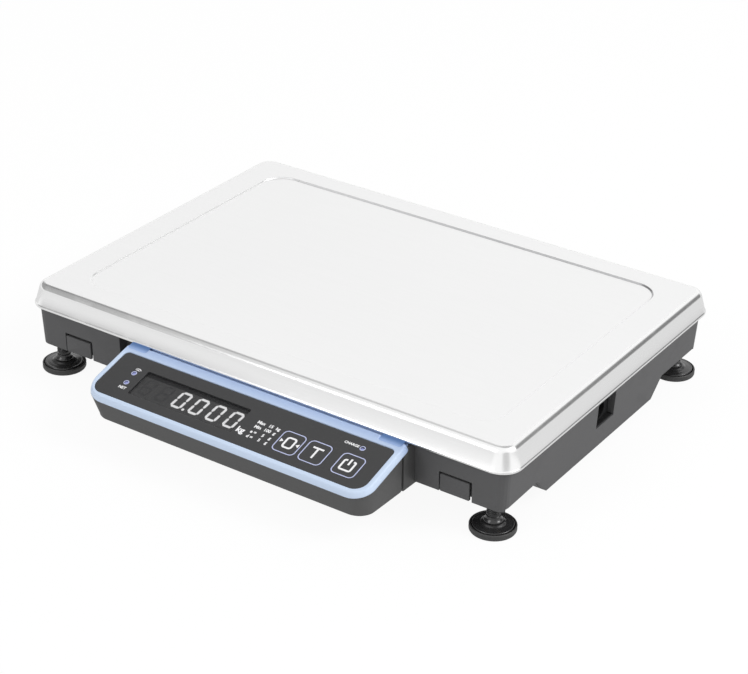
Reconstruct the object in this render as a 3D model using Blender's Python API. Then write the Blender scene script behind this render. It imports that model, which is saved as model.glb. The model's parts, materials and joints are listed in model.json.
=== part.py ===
"""Bench scale: a low platform scale with a pressed stainless platter, a plastic base on four
levelling feet, and a tilted display head with three keys at the front.

Metres, +Z up. The origin is the centre of the footprint on the table, +X is to the
operator's right and the display faces -Y. The base and what it holds hang from an empty on
the platter's centre, the display's pieces from an empty on the head's front edge.
"""

import math

import bmesh
import bpy
from mathutils import Matrix, Vector

# Fits
SEAT = 0.0003
SCREW_CLEARANCE = 0.0003
CORNER_STEPS = 4
BORE_SIDES = 8
PIN_SIDES = 10
ROUND_SIDES = 18

# Platter, a pressed sheet with a rolled hem
PLATTER_LENGTH = 0.336
PLATTER_DEPTH = 0.240
PLATTER_TOP = 0.0570
PLATTER_SKIRT = 0.0142
PLATTER_CORNER = 0.0130
PLATTER_ROUND = 0.0042
PLATTER_DRAFT = 0.0030
PLATTER_BORDER = (0.0250, 0.0216)
PLATTER_STEP = 0.0008
PLATTER_STEP_CORNER = 0.0150
SHEET = 0.0010
HEM_HEIGHT = 0.0022
HEM_ROLL = 0.0006

# Base housing, measured at its top edge
OVERHANG = 0.0045
WALL = 0.0025
DRAFT = 0.046
HOUSING_CORNER = 0.0050
WALL_LAP = 0.0009
WALL_BOTTOM = 0.0168
SIDE_ARCH = 0.0015
SIDE_ARCH_END = 0.0040
BELLY_BOTTOM = 0.0072
BELLY_FRONT = 0.0670
BELLY_BACK = 0.0570
RIB = 0.0020
RIB_BAYS = 6
DECK = 0.0023

# Underside cover
COVER = 0.0025
COVER_FLANGE = 0.0100
COVER_SCREW_PITCH = 0.0950
COVER_FOLD = math.radians(45.0)

# Load cell and what it stands on
PLATE = 0.0025
PLATE_LENGTH = 0.0600
PLATE_WIDTH = 0.0680
PLATE_CORNER = 0.0040
CELL_SPACER = 0.0012
CELL_LENGTH = 0.1300
CELL_WIDTH = 0.0300
CELL_HEIGHT = 0.0200
CELL_HOLE = 0.0060
CELL_WAIST = 0.0240
CELL_AIR = 0.0006
CELL_BOLT = 0.0030
CELL_BOLT_INSET = 0.0120
CELL_BOLT_HEAD = 0.00525
CELL_BOLT_BITE = 0.0080
CARRIER_BOLT_HEAD = 0.0030
CARRIER_RISE = 0.0038

# Load carrier
CARRIER_PLATE = 0.0050
CARRIER_PLATE_WIDTH = 0.0480
CARRIER_PLATE_END = 0.0040
CARRIER_CORNER = 0.0080
CARRIER_ARM = 0.0130
CARRIER_ARM_TIP = 0.0080
CARRIER_RIB = 0.0040
CARRIER_RIB_HEIGHT = 0.0050
POST_RADIUS = 0.0100
POST_INSET_X = 0.0430
POST_INSET_Y = 0.0400
PAD_RADIUS = 0.0085
PAD_HEIGHT = 0.0032
PAD_EDGE = 0.0008
STOP_GAP = 0.0003
STOP_BOSS = 0.0055
STOP_RADIUS = 0.0025
STOP_HEAD = 0.0045
STOP_DEPTH = 0.0060

# Levelling feet
FOOT_INSET_X = 0.0160
FOOT_INSET_Y = 0.0134
SOLE_RADIUS = 0.0132
SOLE_HEIGHT = 0.0036
SOLE_FLOOR = 0.0015
PAD_GROOVE = 0.0005
SOLE_LIP = 0.0011
FOOT_PLATE = 0.0038
FOOT_EDGE = 0.0006
FOOT_SOCKET = 0.0013
STEM_RADIUS = 0.0040
STEM_COLLAR = 0.0056
STEM_COLLAR_HEIGHT = 0.0030
THREAD_CLEARANCE = 0.0001
INSERT_WALL = 0.0012
INSERT_HEIGHT = 0.0080
BOSS_WALL = 0.0015
PLATE_BOSS = 0.0042
BOARD_BOSS = 0.0032
PLATE_SCREW = 0.0018
BOARD_SCREW = 0.0014
SCREW_BITE = 0.0075
FOOT_TRAVEL_UP = 0.0040

# Blanking covers in the front wall
BLANK_SHARE = 0.55
BLANK_HEIGHT = 0.0122
BLANK_GROOVE = 0.0004
BLANK_DEPTH = 0.0016

# Power socket in the right wall
WELL_WIDTH = 0.0205
WELL_CENTRE_Y = -0.0032
WELL_BOTTOM = 0.0205
WELL_HEIGHT = 0.0160
WELL_DEPTH = 0.0165
WELL_WALL = 0.0018
SOCKET_RADIUS = 0.0042
SOCKET_BORE = 0.0030
SOCKET_PIN = 0.0010
SOCKET_BODY = 0.0120
SOCKET_WALL = 0.0014
SOCKET_LIP = 0.0012

# Display head
HEAD_TILT = math.radians(15.0)
HEAD_CENTRE_X = 0.0098
HEAD_SHARE = 0.56905
HEAD_GAP = 0.0020
HEAD_BACK_HEIGHT = 0.0438
HEAD_BOTTOM = 0.0175
HEAD_WALL = 0.0022
HEAD_LIP = 0.0012
HEAD_ROUND = 0.0018
HEAD_LEAN = 0.0010
BEZEL_DEPTH = 0.0441
BEZEL_THICKNESS = 0.0033
BEZEL_FLARE = 0.0014
BEZEL_FRONT_CORNER = 0.0150
BEZEL_BACK_CORNER = 0.0045
BEZEL_BORDER = 0.0028
BEZEL_BACK_BORDER = 0.0063
BEZEL_LEDGE = 0.0045
BEZEL_EDGE = 0.0006
BEZEL_DIP = 0.0008
BEZEL_DIP_LENGTH = 0.0120
BEZEL_DIP_DEPTH = 0.0038
BEZEL_DIP_RIM = 0.0016
HEAD_BACK_CORNER = 0.0030
HEAD_POST_INSET = 0.0068
HEAD_POST_FRONT = 0.0170
HEAD_POST_BACK = 0.0030
HEAD_POST = 0.0034
HEAD_SCREW = 0.0015
HEAD_SCREW_SINK = 0.0026
PANEL = 0.0013
PANEL_DROP = 0.0003
NECK_LENGTH = 0.0092
NECK_SCREW = 0.0020
NECK_SCREW_HEAD = 0.0036
NECK_SCREW_BITE = 0.0076
NECK_BOSS = 0.0038
POCKET_DEPTH = 0.0072
POCKET_LEFT_GAP = 0.0140

# Display and keys: across the head as shares of its width, up it from the bezel's front edge
WINDOW_SHARE = 0.3818
WINDOW_HEIGHT = 0.0200
WINDOW_PLACE_SHARE = -0.17678
WINDOW_ROW = 0.0194
WINDOW_RECESS = 0.0008
MODULE_INSET = 0.0010
WINDOW = 0.0006
KEY_SHARE = 0.07584
KEY_HEIGHT = 0.0137
KEY_CORNER = 0.0026
KEY_GAP = 0.0002
KEY_ROW = 0.0168
KEY_PLACE_SHARES = {"key_zero": 0.19404, "key_tare": 0.28347, "key_power": 0.39644}
KEY_AIR = 0.00035
PLUNGER_RADIUS = 0.0025
PLUNGER = 0.0011
SWITCH_RADIUS = 0.0038
SWITCH_STEM = 0.0006
INDICATOR_RADIUS = 0.0011
INDICATOR_PLACE_SHARES = {
    "indicator_link": -0.40272, "indicator_network": -0.39906, "indicator_mains": 0.39540,
}
INDICATOR_ROWS = {"indicator_link": 0.0244, "indicator_network": 0.0163, "indicator_mains": 0.0304}
BOARD = 0.0016
HEAD_BOARD_DEPTH = 0.0070
BOARD_REST = 0.0026
BOARD_REST_PLACES = ((-0.37, 0.012), (-0.37, 0.028), (0.0, 0.012), (0.37, 0.012), (0.37, 0.028))

# Main board, battery and lead
MAIN_BOARD_LENGTH = 0.1100
MAIN_BOARD_WIDTH = 0.0380
MAIN_BOARD_LAP = 0.0020
MAIN_BOARD_FROM_CELL = 0.0060
BOARD_CORNER = 0.0020
BOARD_STANDOFF = 0.0050
BOARD_SCREW_HOLE = 0.0013
CAPACITOR = 0.0045
CAPACITOR_HEIGHT = 0.0100
CHIP_HEIGHT = 0.0020
CHIP_SPANS = ((-0.55, -0.20), (0.05, 0.30))
CAPACITOR_SHARE = 0.55
BATTERY_CELL = 0.0092
BATTERY_LENGTH = 0.0700
BATTERY_GAP = 0.0080
LEAD_WIDTH = 0.0120
LEAD_THICKNESS = 0.0010
LEAD_START = 0.0300
LEAD_SLOT = 0.0020

# Bubble level
LEVEL_RADIUS = 0.0090
LEVEL_HEIGHT = 0.0080
LEVEL_FROM_SIDE = 0.0455
LEVEL_Y = 0.0360
LEVEL_WALL = 0.0014
LENS_DOME = 0.6

# Worked out from the sizes above
PLATTER_BOTTOM = PLATTER_TOP - PLATTER_SKIRT
HALF_LENGTH = PLATTER_LENGTH / 2
HALF_DEPTH = PLATTER_DEPTH / 2
HOUSING_X = HALF_LENGTH - OVERHANG
HOUSING_Y = HALF_DEPTH - OVERHANG
WALL_TOP = PLATTER_BOTTOM + WALL_LAP
COVER_TOP = BELLY_BOTTOM + COVER
PLATE_TOP = COVER_TOP + SEAT + PLATE
CELL_BOTTOM = PLATE_TOP + SEAT + CELL_SPACER + SEAT
CELL_TOP = CELL_BOTTOM + CELL_HEIGHT
DECK_UNDER = CELL_TOP + CELL_AIR
DECK_TOP = DECK_UNDER + DECK
CARRIER_BOTTOM = CELL_TOP + SEAT + CARRIER_RISE + SEAT
STEP_UNDER = PLATTER_TOP - PLATTER_STEP - SHEET
PAD_TOP = STEP_UNDER - SEAT
POST_TOP = PAD_TOP - PAD_HEIGHT - SEAT
RIB_PITCH = PLATTER_LENGTH / RIB_BAYS
POST_X = HALF_LENGTH - POST_INSET_X
POST_Y = HALF_DEPTH - POST_INSET_Y
FOOT_X = HALF_LENGTH - FOOT_INSET_X
FOOT_Y = HALF_DEPTH - FOOT_INSET_Y
INSERT_RADIUS = STEM_RADIUS + THREAD_CLEARANCE + INSERT_WALL
INSERT_BOTTOM = WALL_BOTTOM + 2 * SEAT
STEM_TOP = DECK_UNDER - FOOT_TRAVEL_UP - 4 * SEAT
CELL_BOLT_X = CELL_LENGTH / 2 - CELL_BOLT_INSET
MAIN_BOARD_X = PLATE_LENGTH / 2 - CELL_BOLT_X - MAIN_BOARD_LAP + MAIN_BOARD_LENGTH / 2
MAIN_BOARD_Y = -(CELL_WIDTH / 2 + MAIN_BOARD_FROM_CELL + MAIN_BOARD_WIDTH / 2)
LEVEL_X = LEVEL_FROM_SIDE - HOUSING_X
PANEL_FLOOR = PANEL_DROP + PANEL
HEAD_WIDTH = HEAD_SHARE * PLATTER_LENGTH
WINDOW_LENGTH = WINDOW_SHARE * HEAD_WIDTH
KEY_LENGTH = KEY_SHARE * HEAD_WIDTH
HEAD_LEFT = HEAD_CENTRE_X - HEAD_WIDTH / 2
HEAD_RIGHT = HEAD_CENTRE_X + HEAD_WIDTH / 2
HEAD_BACK_Y = -(HALF_DEPTH + HEAD_GAP)
HEAD_FRONT_Y = HEAD_BACK_Y - BEZEL_DEPTH * math.cos(HEAD_TILT)
HEAD_FRONT_Z = HEAD_BACK_HEIGHT - BEZEL_DEPTH * math.sin(HEAD_TILT)
HEAD_REAR_Y = -(HOUSING_Y + NECK_LENGTH)
BEZEL_REACH = BEZEL_FLARE * math.cos(HEAD_TILT) - BEZEL_THICKNESS * math.sin(HEAD_TILT)
FRONT_REACH = -HEAD_FRONT_Y + max(BEZEL_REACH, 0.0)
PLATTER_CENTRE_Y = (FRONT_REACH - HALF_DEPTH) / 2
POCKET_Y = -(HOUSING_Y - POCKET_DEPTH)
POCKET_LEFT = HEAD_LEFT - POCKET_LEFT_GAP
POCKET_RIGHT = HEAD_RIGHT + 2 * SEAT
FOOT_BOSS = INSERT_RADIUS + SEAT + BOSS_WALL
BLANK_WIDTH = BLANK_SHARE * (FOOT_X - FOOT_BOSS - POCKET_RIGHT - WALL)
BLANK_LUG = BLANK_WIDTH / 2 + BLANK_GROOVE + WALL
BLANK_X = FOOT_X - FOOT_BOSS - BLANK_LUG
LEAD_TOP = DECK_UNDER - BOARD_STANDOFF + SEAT + LEAD_THICKNESS
SOCKET_Z = WELL_BOTTOM + WELL_HEIGHT * 0.42
FAR = 0.30


def empty_the_scene():
    for item in list(bpy.data.objects):
        bpy.data.objects.remove(item, do_unlink=True)


def finish(name, colour, roughness, metallic=0.0, alpha=1.0):
    """A plain Principled material."""
    material = bpy.data.materials.new(name)
    material.use_nodes = True
    shader = material.node_tree.nodes["Principled BSDF"]
    shader.inputs["Base Color"].default_value = (*colour, 1.0)
    shader.inputs["Roughness"].default_value = roughness
    shader.inputs["Metallic"].default_value = metallic
    shader.inputs["Alpha"].default_value = alpha
    return material


def empty(name, location, parent=None, tilt=0.0):
    """A place that pieces hang from."""
    place = bpy.data.objects.new(name, None)
    bpy.context.scene.collection.objects.link(place)
    place.parent = parent
    place.location = location
    place.rotation_euler = (tilt, 0.0, 0.0)
    return place


def piece(name, bm, material, parent, location=(0.0, 0.0, 0.0), smooth=False):
    """Turn a bmesh into a named object on its parent."""
    bmesh.ops.recalc_face_normals(bm, faces=bm.faces)
    mesh = bpy.data.meshes.new(name)
    bm.to_mesh(mesh)
    bm.free()
    mesh.materials.append(material)
    if smooth:
        mesh.shade_smooth()
        mesh.set_sharp_from_angle(angle=math.radians(35.0))
    item = bpy.data.objects.new(name, mesh)
    bpy.context.scene.collection.objects.link(item)
    item.parent = parent
    item.location = location
    return item


def tool(name, bm, parent, location=(0.0, 0.0, 0.0)):
    """A shape that only cuts or adds, and isn't a piece itself."""
    shape = piece(name, bm, TOOL, parent, location)
    shape.hide_render = True
    shape.display_type = "WIRE"
    return shape


def combine(target, shape, operation):
    modifier = target.modifiers.new(shape.name, "BOOLEAN")
    modifier.operation = operation
    modifier.solver = "EXACT"
    modifier.object = shape


def cut(target, *shapes):
    for shape in shapes:
        combine(target, shape, "DIFFERENCE")


def add(target, *shapes):
    for shape in shapes:
        combine(target, shape, "UNION")


def box(bm, low, high):
    low, high = Vector(low), Vector(high)
    matrix = Matrix.Translation((low + high) / 2) @ Matrix.Diagonal((*(high - low), 1.0))
    bmesh.ops.create_cube(bm, size=1.0, matrix=matrix)


def rod(bm, centre, radius, low, high, segments=16, axis="Z", end_radius=None):
    """A round bar, or a cone, between two levels of its axis."""
    end_radius = radius if end_radius is None else end_radius
    turn = {"X": Matrix.Rotation(math.pi / 2, 4, "Y"), "Y": Matrix.Rotation(-math.pi / 2, 4, "X")}
    middle = (low + high) / 2
    spots = {
        "X": (middle, centre[0], centre[1]),
        "Y": (centre[0], middle, centre[1]),
        "Z": (centre[0], centre[1], middle),
    }
    matrix = Matrix.Translation(spots[axis]) @ turn.get(axis, Matrix())
    bmesh.ops.create_cone(
        bm, cap_ends=True, cap_tris=False, segments=segments,
        radius1=radius, radius2=end_radius, depth=high - low, matrix=matrix,
    )


def rounded_outline(half_x, half_y, front_radius, back_radius=None, centre=(0.0, 0.0)):
    """A rectangle's outline with round corners, counter-clockwise."""
    back_radius = front_radius if back_radius is None else back_radius
    points = []
    for side_x, side_y, start in ((1, -1, -90), (1, 1, 0), (-1, 1, 90), (-1, -1, 180)):
        radius = max(front_radius if side_y < 0 else back_radius, SEAT)
        corner_x = centre[0] + side_x * (half_x - radius)
        corner_y = centre[1] + side_y * (half_y - radius)
        for step in range(CORNER_STEPS + 1):
            angle = math.radians(start + 90.0 * step / CORNER_STEPS)
            points.append((corner_x + radius * math.cos(angle), corner_y + radius * math.sin(angle)))
    return points


def stack(bm, layers):
    """Skin a closed body through outlines at rising or turning levels."""
    loops = []
    for outline, height in layers:
        loops.append([bm.verts.new((x, y, height)) for x, y in outline])
    for lower, upper in zip(loops, loops[1:]):
        for index in range(len(lower)):
            after = (index + 1) % len(lower)
            bm.faces.new((lower[index], lower[after], upper[after], upper[index]))
    bm.faces.new(loops[0])
    bm.faces.new(loops[-1])


def slab(bm, outline, low, high):
    stack(bm, [(outline, low), (outline, high)])


def across(bm, outline, low_x, high_x):
    """Extrude an outline of (y, z) points along X."""
    face = bm.faces.new([bm.verts.new((low_x, y, z)) for y, z in outline])
    grown = bmesh.ops.extrude_face_region(bm, geom=[face])
    corners = [item for item in grown["geom"] if isinstance(item, bmesh.types.BMVert)]
    bmesh.ops.translate(bm, verts=corners, vec=(high_x - low_x, 0.0, 0.0))


def turned(bm, profile, segments, centre=(0.0, 0.0)):
    """Spin a half-profile of (radius, height) points about a vertical axis."""
    old = set(bm.verts)
    rim = [bm.verts.new((radius, 0.0, height)) for radius, height in profile]
    edges = [bm.edges.new(pair) for pair in zip(rim, rim[1:])]
    if profile[0][0] > 0.0 or profile[-1][0] > 0.0:
        edges.append(bm.edges.new((rim[-1], rim[0])))
    bmesh.ops.spin(
        bm, geom=rim + edges, axis=(0.0, 0.0, 1.0), cent=(0.0, 0.0, 0.0),
        angle=math.tau, steps=segments, use_merge=True,
    )
    fresh = [vert for vert in bm.verts if vert not in old]
    bmesh.ops.remove_doubles(bm, verts=fresh, dist=0.000001)
    fresh = [vert for vert in bm.verts if vert not in old]
    bmesh.ops.translate(bm, verts=fresh, vec=(centre[0], centre[1], 0.0))


def housing_layer(inset, height):
    """The housing's drafted outline at a height, moved in by a wall or so."""
    lean = DRAFT * (WALL_TOP - height)
    return rounded_outline(
        HOUSING_X - lean - inset, HOUSING_Y - lean - inset, HOUSING_CORNER - inset
    ), height


def build_platter():
    """One sheet: recessed top, rounded crease, drafted skirt and a rolled hem."""
    def layer(inset, height):
        return rounded_outline(HALF_LENGTH - inset, HALF_DEPTH - inset, PLATTER_CORNER - inset), height

    def bend(radius, centre_inset, level):
        for step in range(CORNER_STEPS + 1):
            angle = math.radians(90.0 - 80.0 * step / CORNER_STEPS)
            inset = centre_inset - radius * math.cos(angle)
            yield layer(inset, level + radius * math.sin(angle))

    def recess(run, height):
        half_x, half_y = HALF_LENGTH - PLATTER_BORDER[0], HALF_DEPTH - PLATTER_BORDER[1]
        return rounded_outline(half_x - run, half_y - run, PLATTER_STEP_CORNER - run), height

    step_run = PLATTER_STEP * 1.5
    bend_centre = PLATTER_DRAFT + PLATTER_ROUND
    level = PLATTER_TOP - PLATTER_ROUND
    hem_top = PLATTER_BOTTOM + HEM_HEIGHT
    layers = [recess(step_run, PLATTER_TOP - PLATTER_STEP), recess(0.0, PLATTER_TOP)]
    layers += list(bend(PLATTER_ROUND, bend_centre, level))
    layers += [
        layer(HEM_ROLL, hem_top),
        layer(0.0, hem_top - HEM_ROLL),
        layer(0.0, PLATTER_BOTTOM + HEM_ROLL / 2),
        layer(HEM_ROLL / 2, PLATTER_BOTTOM),
        layer(HEM_ROLL + SHEET, PLATTER_BOTTOM),
        layer(HEM_ROLL + SHEET, hem_top),
    ]
    layers += reversed(list(bend(PLATTER_ROUND - SHEET, bend_centre, level)))
    layers += [recess(0.0, PLATTER_TOP - SHEET), recess(step_run, STEP_UNDER)]
    bm = bmesh.new()
    stack(bm, layers)
    return piece("platter", bm, STEEL, centre, smooth=True)


def base_undercut():
    """What lies below the walls: arches at the sides, and the slants of the belly."""
    side_front = -(HOUSING_Y - SIDE_ARCH_END)
    side_level = WALL_BOTTOM + SIDE_ARCH
    front_drop = side_level + SIDE_ARCH - BELLY_BOTTOM
    back_drop = side_level - BELLY_BOTTOM
    front = [
        (-FAR, 0.0), (-FAR, WALL_BOTTOM), (side_front, WALL_BOTTOM), (side_front, side_level),
        (-BELLY_FRONT - front_drop - SIDE_ARCH, side_level + SIDE_ARCH / 2),
        (-BELLY_FRONT - front_drop, side_level + SIDE_ARCH),
        (-BELLY_FRONT, BELLY_BOTTOM), (-BELLY_FRONT, 0.0),
    ]
    back = [
        (BELLY_BACK, 0.0), (BELLY_BACK, BELLY_BOTTOM), (BELLY_BACK + back_drop, side_level),
        (-side_front, side_level), (-side_front, WALL_BOTTOM), (FAR, WALL_BOTTOM), (FAR, 0.0),
    ]
    bm = bmesh.new()
    across(bm, front, -FAR, FAR)
    across(bm, back, -FAR, FAR)
    return tool("base_undercut", bm, centre)


def foot_places():
    for side_y, along in ((-1, "front"), (1, "back")):
        for side_x, hand in ((-1, "left"), (1, "right")):
            yield f"{along}_{hand}", side_x * FOOT_X, side_y * FOOT_Y


def cover_screw_places():
    for y in (-cover_flange_y()[0], cover_flange_y()[1]):
        for x in (-COVER_SCREW_PITCH, 0.0, COVER_SCREW_PITCH):
            yield x, y


def cover_flange_y():
    """How far forward and back the middle of the cover's two flanges lies."""
    rise = WALL_BOTTOM + SIDE_ARCH - BELLY_BOTTOM
    return BELLY_FRONT + rise + COVER_FLANGE / 2, BELLY_BACK + rise + COVER_FLANGE / 2


def plate_screw_places():
    for x in (-CELL_BOLT_X - PLATE_LENGTH / 3, -CELL_BOLT_X + PLATE_LENGTH / 3):
        for y in (-PLATE_WIDTH * 0.4, PLATE_WIDTH * 0.4):
            yield x, y


def board_screw_places():
    for x in (-MAIN_BOARD_LENGTH * 0.45, MAIN_BOARD_LENGTH * 0.45):
        for y in (-MAIN_BOARD_WIDTH * 0.38, MAIN_BOARD_WIDTH * 0.38):
            yield MAIN_BOARD_X + x, MAIN_BOARD_Y + y


def neck_screw_places():
    for share in (-0.30, 0.30):
        yield HEAD_CENTRE_X + share * HEAD_WIDTH


def stop_places():
    for x in (-POST_X, POST_X):
        for y in (-POST_Y, POST_Y):
            yield x, y


def build_base_housing():
    """The moulded base: drafted walls round a deck, with bosses and ribs below it."""
    bm = bmesh.new()
    stack(bm, [housing_layer(0.0, BELLY_BOTTOM), housing_layer(0.0, WALL_TOP)])
    housing = piece("base_housing", bm, PLASTIC, centre)

    bm = bmesh.new()
    stack(bm, [housing_layer(WALL, 0.0), housing_layer(WALL, DECK_UNDER)])
    stack(bm, [housing_layer(WALL, DECK_TOP), housing_layer(WALL, WALL_TOP + WALL)])
    cut(housing, tool("base_cavities", bm, centre))

    flange_front, flange_back = cover_flange_y()
    bay_front = -(flange_front + COVER_FLANGE / 2 - RIB)
    bay_back = flange_back + COVER_FLANGE / 2 - RIB
    rib_low = WALL_BOTTOM + SIDE_ARCH + COVER + SEAT
    overlap = WALL / 2
    inner_x = HOUSING_X - WALL - DRAFT * (WALL_TOP - rib_low)
    inner_y = HOUSING_Y - WALL - DRAFT * (WALL_TOP - rib_low)

    reach_x, reach_y = inner_x + overlap / 2, inner_y + overlap / 2
    bm = bmesh.new()
    for y in (bay_front, bay_back):
        box(bm, (-reach_x, y, rib_low), (reach_x, y + RIB, DECK_TOP - DECK / 2))
    add(housing, tool("bay_walls", bm, centre))

    bm = bmesh.new()
    low_front = POCKET_Y + WALL - overlap
    count = int((FOOT_X - BOSS_WALL - INSERT_RADIUS) / RIB_PITCH)
    for index in range(-count, count + 1):
        x = index * RIB_PITCH
        in_pocket = POCKET_LEFT - WALL < x < POCKET_RIGHT + WALL
        front = low_front if in_pocket else -reach_y
        for y, end in ((front, bay_front + RIB / 2), (bay_back + RIB / 2, reach_y)):
            box(bm, (x - RIB / 2, y, rib_low + RIB), (x + RIB / 2, end, DECK_TOP - DECK / 3))
    add(housing, tool("cross_ribs", bm, centre))

    feet = [(x, y) for name, x, y in foot_places()]
    bosses = (
        ("foot_bosses", feet, FOOT_BOSS, WALL_BOTTOM + SEAT, ROUND_SIDES),
        ("plate_bosses", plate_screw_places(), PLATE_BOSS, PLATE_TOP + SEAT, PIN_SIDES),
        ("board_bosses", board_screw_places(), BOARD_BOSS, DECK_UNDER - BOARD_STANDOFF + SEAT, BORE_SIDES),
        ("cover_bosses", cover_screw_places(), PLATE_BOSS, rib_low, PIN_SIDES),
        ("stop_bosses", stop_places(), STOP_BOSS, DECK_UNDER - STOP_DEPTH, PIN_SIDES),
    )
    for index, (name, places, radius, low, sides) in enumerate(bosses):
        bm = bmesh.new()
        for spot in places:
            rod(bm, spot, radius, low, DECK_TOP - DECK / (4 + index), sides)
        add(housing, tool(name, bm, centre))

    bm = bmesh.new()
    for name, x, y in foot_places():
        side = math.copysign(1.0, x)
        reach = side * (inner_x + overlap / 2)
        box(bm, (min(x, reach), y - RIB / 2, rib_low), (max(x, reach), y + RIB / 2, DECK_TOP - DECK / 5))
    box(
        bm, (POCKET_LEFT - WALL, -inner_y - overlap, WALL_BOTTOM - WALL),
        (POCKET_RIGHT + WALL, POCKET_Y + WALL, WALL_TOP),
    )
    well_x = HOUSING_X - WELL_DEPTH - WELL_WALL
    well_low = WELL_CENTRE_Y - WELL_WIDTH / 2
    well_high = WELL_CENTRE_Y + WELL_WIDTH / 2
    well_top = WELL_BOTTOM + WELL_HEIGHT
    well_end = HOUSING_X - DRAFT * WALL_TOP - overlap
    box(
        bm, (well_x, well_low - WELL_WALL, WELL_BOTTOM - WELL_WALL),
        (well_end, well_high + WELL_WALL, well_top + WELL_WALL),
    )
    add(housing, tool("pocket_and_well", bm, centre))

    bm = bmesh.new()
    box(bm, (POCKET_LEFT, -FAR, 0.0), (POCKET_RIGHT, POCKET_Y, FAR))
    box(bm, (HOUSING_X - WELL_DEPTH, well_low, WELL_BOTTOM), (FAR, well_high, well_top))
    cut(housing, base_undercut(), tool("pocket_and_well_space", bm, centre))

    bm = bmesh.new()
    for name, x, y in foot_places():
        rod(bm, (x, y), INSERT_RADIUS + SEAT, 0.0, INSERT_BOTTOM + INSERT_HEIGHT + SEAT, ROUND_SIDES)
    for x, y in plate_screw_places():
        rod(bm, (x, y), PLATE_SCREW, 0.0, PLATE_TOP + SCREW_BITE, BORE_SIDES)
    for x, y in board_screw_places():
        rod(bm, (x, y), BOARD_SCREW, 0.0, DECK_UNDER - BOARD_STANDOFF / 2, BORE_SIDES)
    for x, y in cover_screw_places():
        rod(bm, (x, y), PLATE_SCREW, 0.0, rib_low + SCREW_BITE, BORE_SIDES)
    for x, y in stop_places():
        rod(bm, (x, y), STOP_RADIUS + SCREW_CLEARANCE, DECK_UNDER - STOP_DEPTH - RIB, FAR, PIN_SIDES)
    opening_x, opening_y = CELL_WIDTH / 2 + 2 * WALL, CELL_WIDTH / 2 + 1.5 * WALL
    box(bm, (CELL_BOLT_X - opening_x, -opening_y, CELL_TOP), (CELL_BOLT_X + opening_x, opening_y, FAR))
    socket_hole = SOCKET_RADIUS + SEAT
    rod(bm, (WELL_CENTRE_Y, SOCKET_Z), socket_hole, well_x - WALL, well_x + 2 * WALL, ROUND_SIDES, "X")
    screw_hole = NECK_SCREW + SCREW_CLEARANCE
    for x in neck_screw_places():
        rod(bm, (x, neck_screw_z()), screw_hole, POCKET_Y - WALL, POCKET_Y + 2 * WALL, PIN_SIDES, "Y")
    for side in (-1, 1):
        x = side * BLANK_X
        half = BLANK_WIDTH / 2 + BLANK_GROOVE
        top = WALL_BOTTOM + BLANK_HEIGHT + BLANK_GROOVE
        box(bm, (x - half, -FAR, 0.0), (x + half, -(HOUSING_Y - WALL * 2), top))
    cut(housing, tool("base_holes", bm, centre))

    bm = bmesh.new()
    for name, x, y in foot_places():
        rod(bm, (x, y), STEM_RADIUS + 2 * SEAT, INSERT_BOTTOM, DECK_UNDER - SEAT, PIN_SIDES)
    box(bm, lead_slot()[0], lead_slot()[1])
    cut(housing, tool("stem_holes", bm, centre))
    return housing


def neck_screw_z():
    return (HEAD_BOTTOM + DECK_UNDER) / 2 + SCREW_CLEARANCE


def lead_slot():
    """The straight slot that the display's lead runs through, from head to main board."""
    half = LEAD_WIDTH / 2 + LEAD_SLOT
    low = (HEAD_CENTRE_X - half, HEAD_REAR_Y - 2 * HEAD_WALL, LEAD_TOP - LEAD_THICKNESS - LEAD_SLOT)
    high = (HEAD_CENTRE_X + half, MAIN_BOARD_Y - MAIN_BOARD_WIDTH / 2, LEAD_TOP + SEAT * 3)
    return low, high


def build_underside_cover():
    """A folded tray that closes the belly between the side walls."""
    front, back = BELLY_FRONT, BELLY_BACK
    flange = WALL_BOTTOM + SIDE_ARCH
    rise = flange - BELLY_BOTTOM
    inner = COVER * math.tan(COVER_FOLD / 2)
    outline = [
        (-front, BELLY_BOTTOM), (back, BELLY_BOTTOM), (back + rise, flange),
        (back + rise + COVER_FLANGE, flange), (back + rise + COVER_FLANGE, flange + COVER),
        (back + rise - inner, flange + COVER), (back - inner, BELLY_BOTTOM + COVER),
        (-front + inner, BELLY_BOTTOM + COVER), (-front - rise + inner, flange + COVER),
        (-front - rise - COVER_FLANGE, flange + COVER), (-front - rise - COVER_FLANGE, flange),
        (-front - rise, flange),
    ]
    half = HOUSING_X - WALL - DRAFT * (WALL_TOP - BELLY_BOTTOM) - SEAT
    bm = bmesh.new()
    across(bm, outline, -half, half)
    cover = piece("underside_cover", bm, PLASTIC, centre)
    bm = bmesh.new()
    for x, y in cover_screw_places():
        rod(bm, (x, y), PLATE_SCREW, 0.0, FAR / 2, BORE_SIDES)
    cut(cover, tool("cover_holes", bm, centre))


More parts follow.
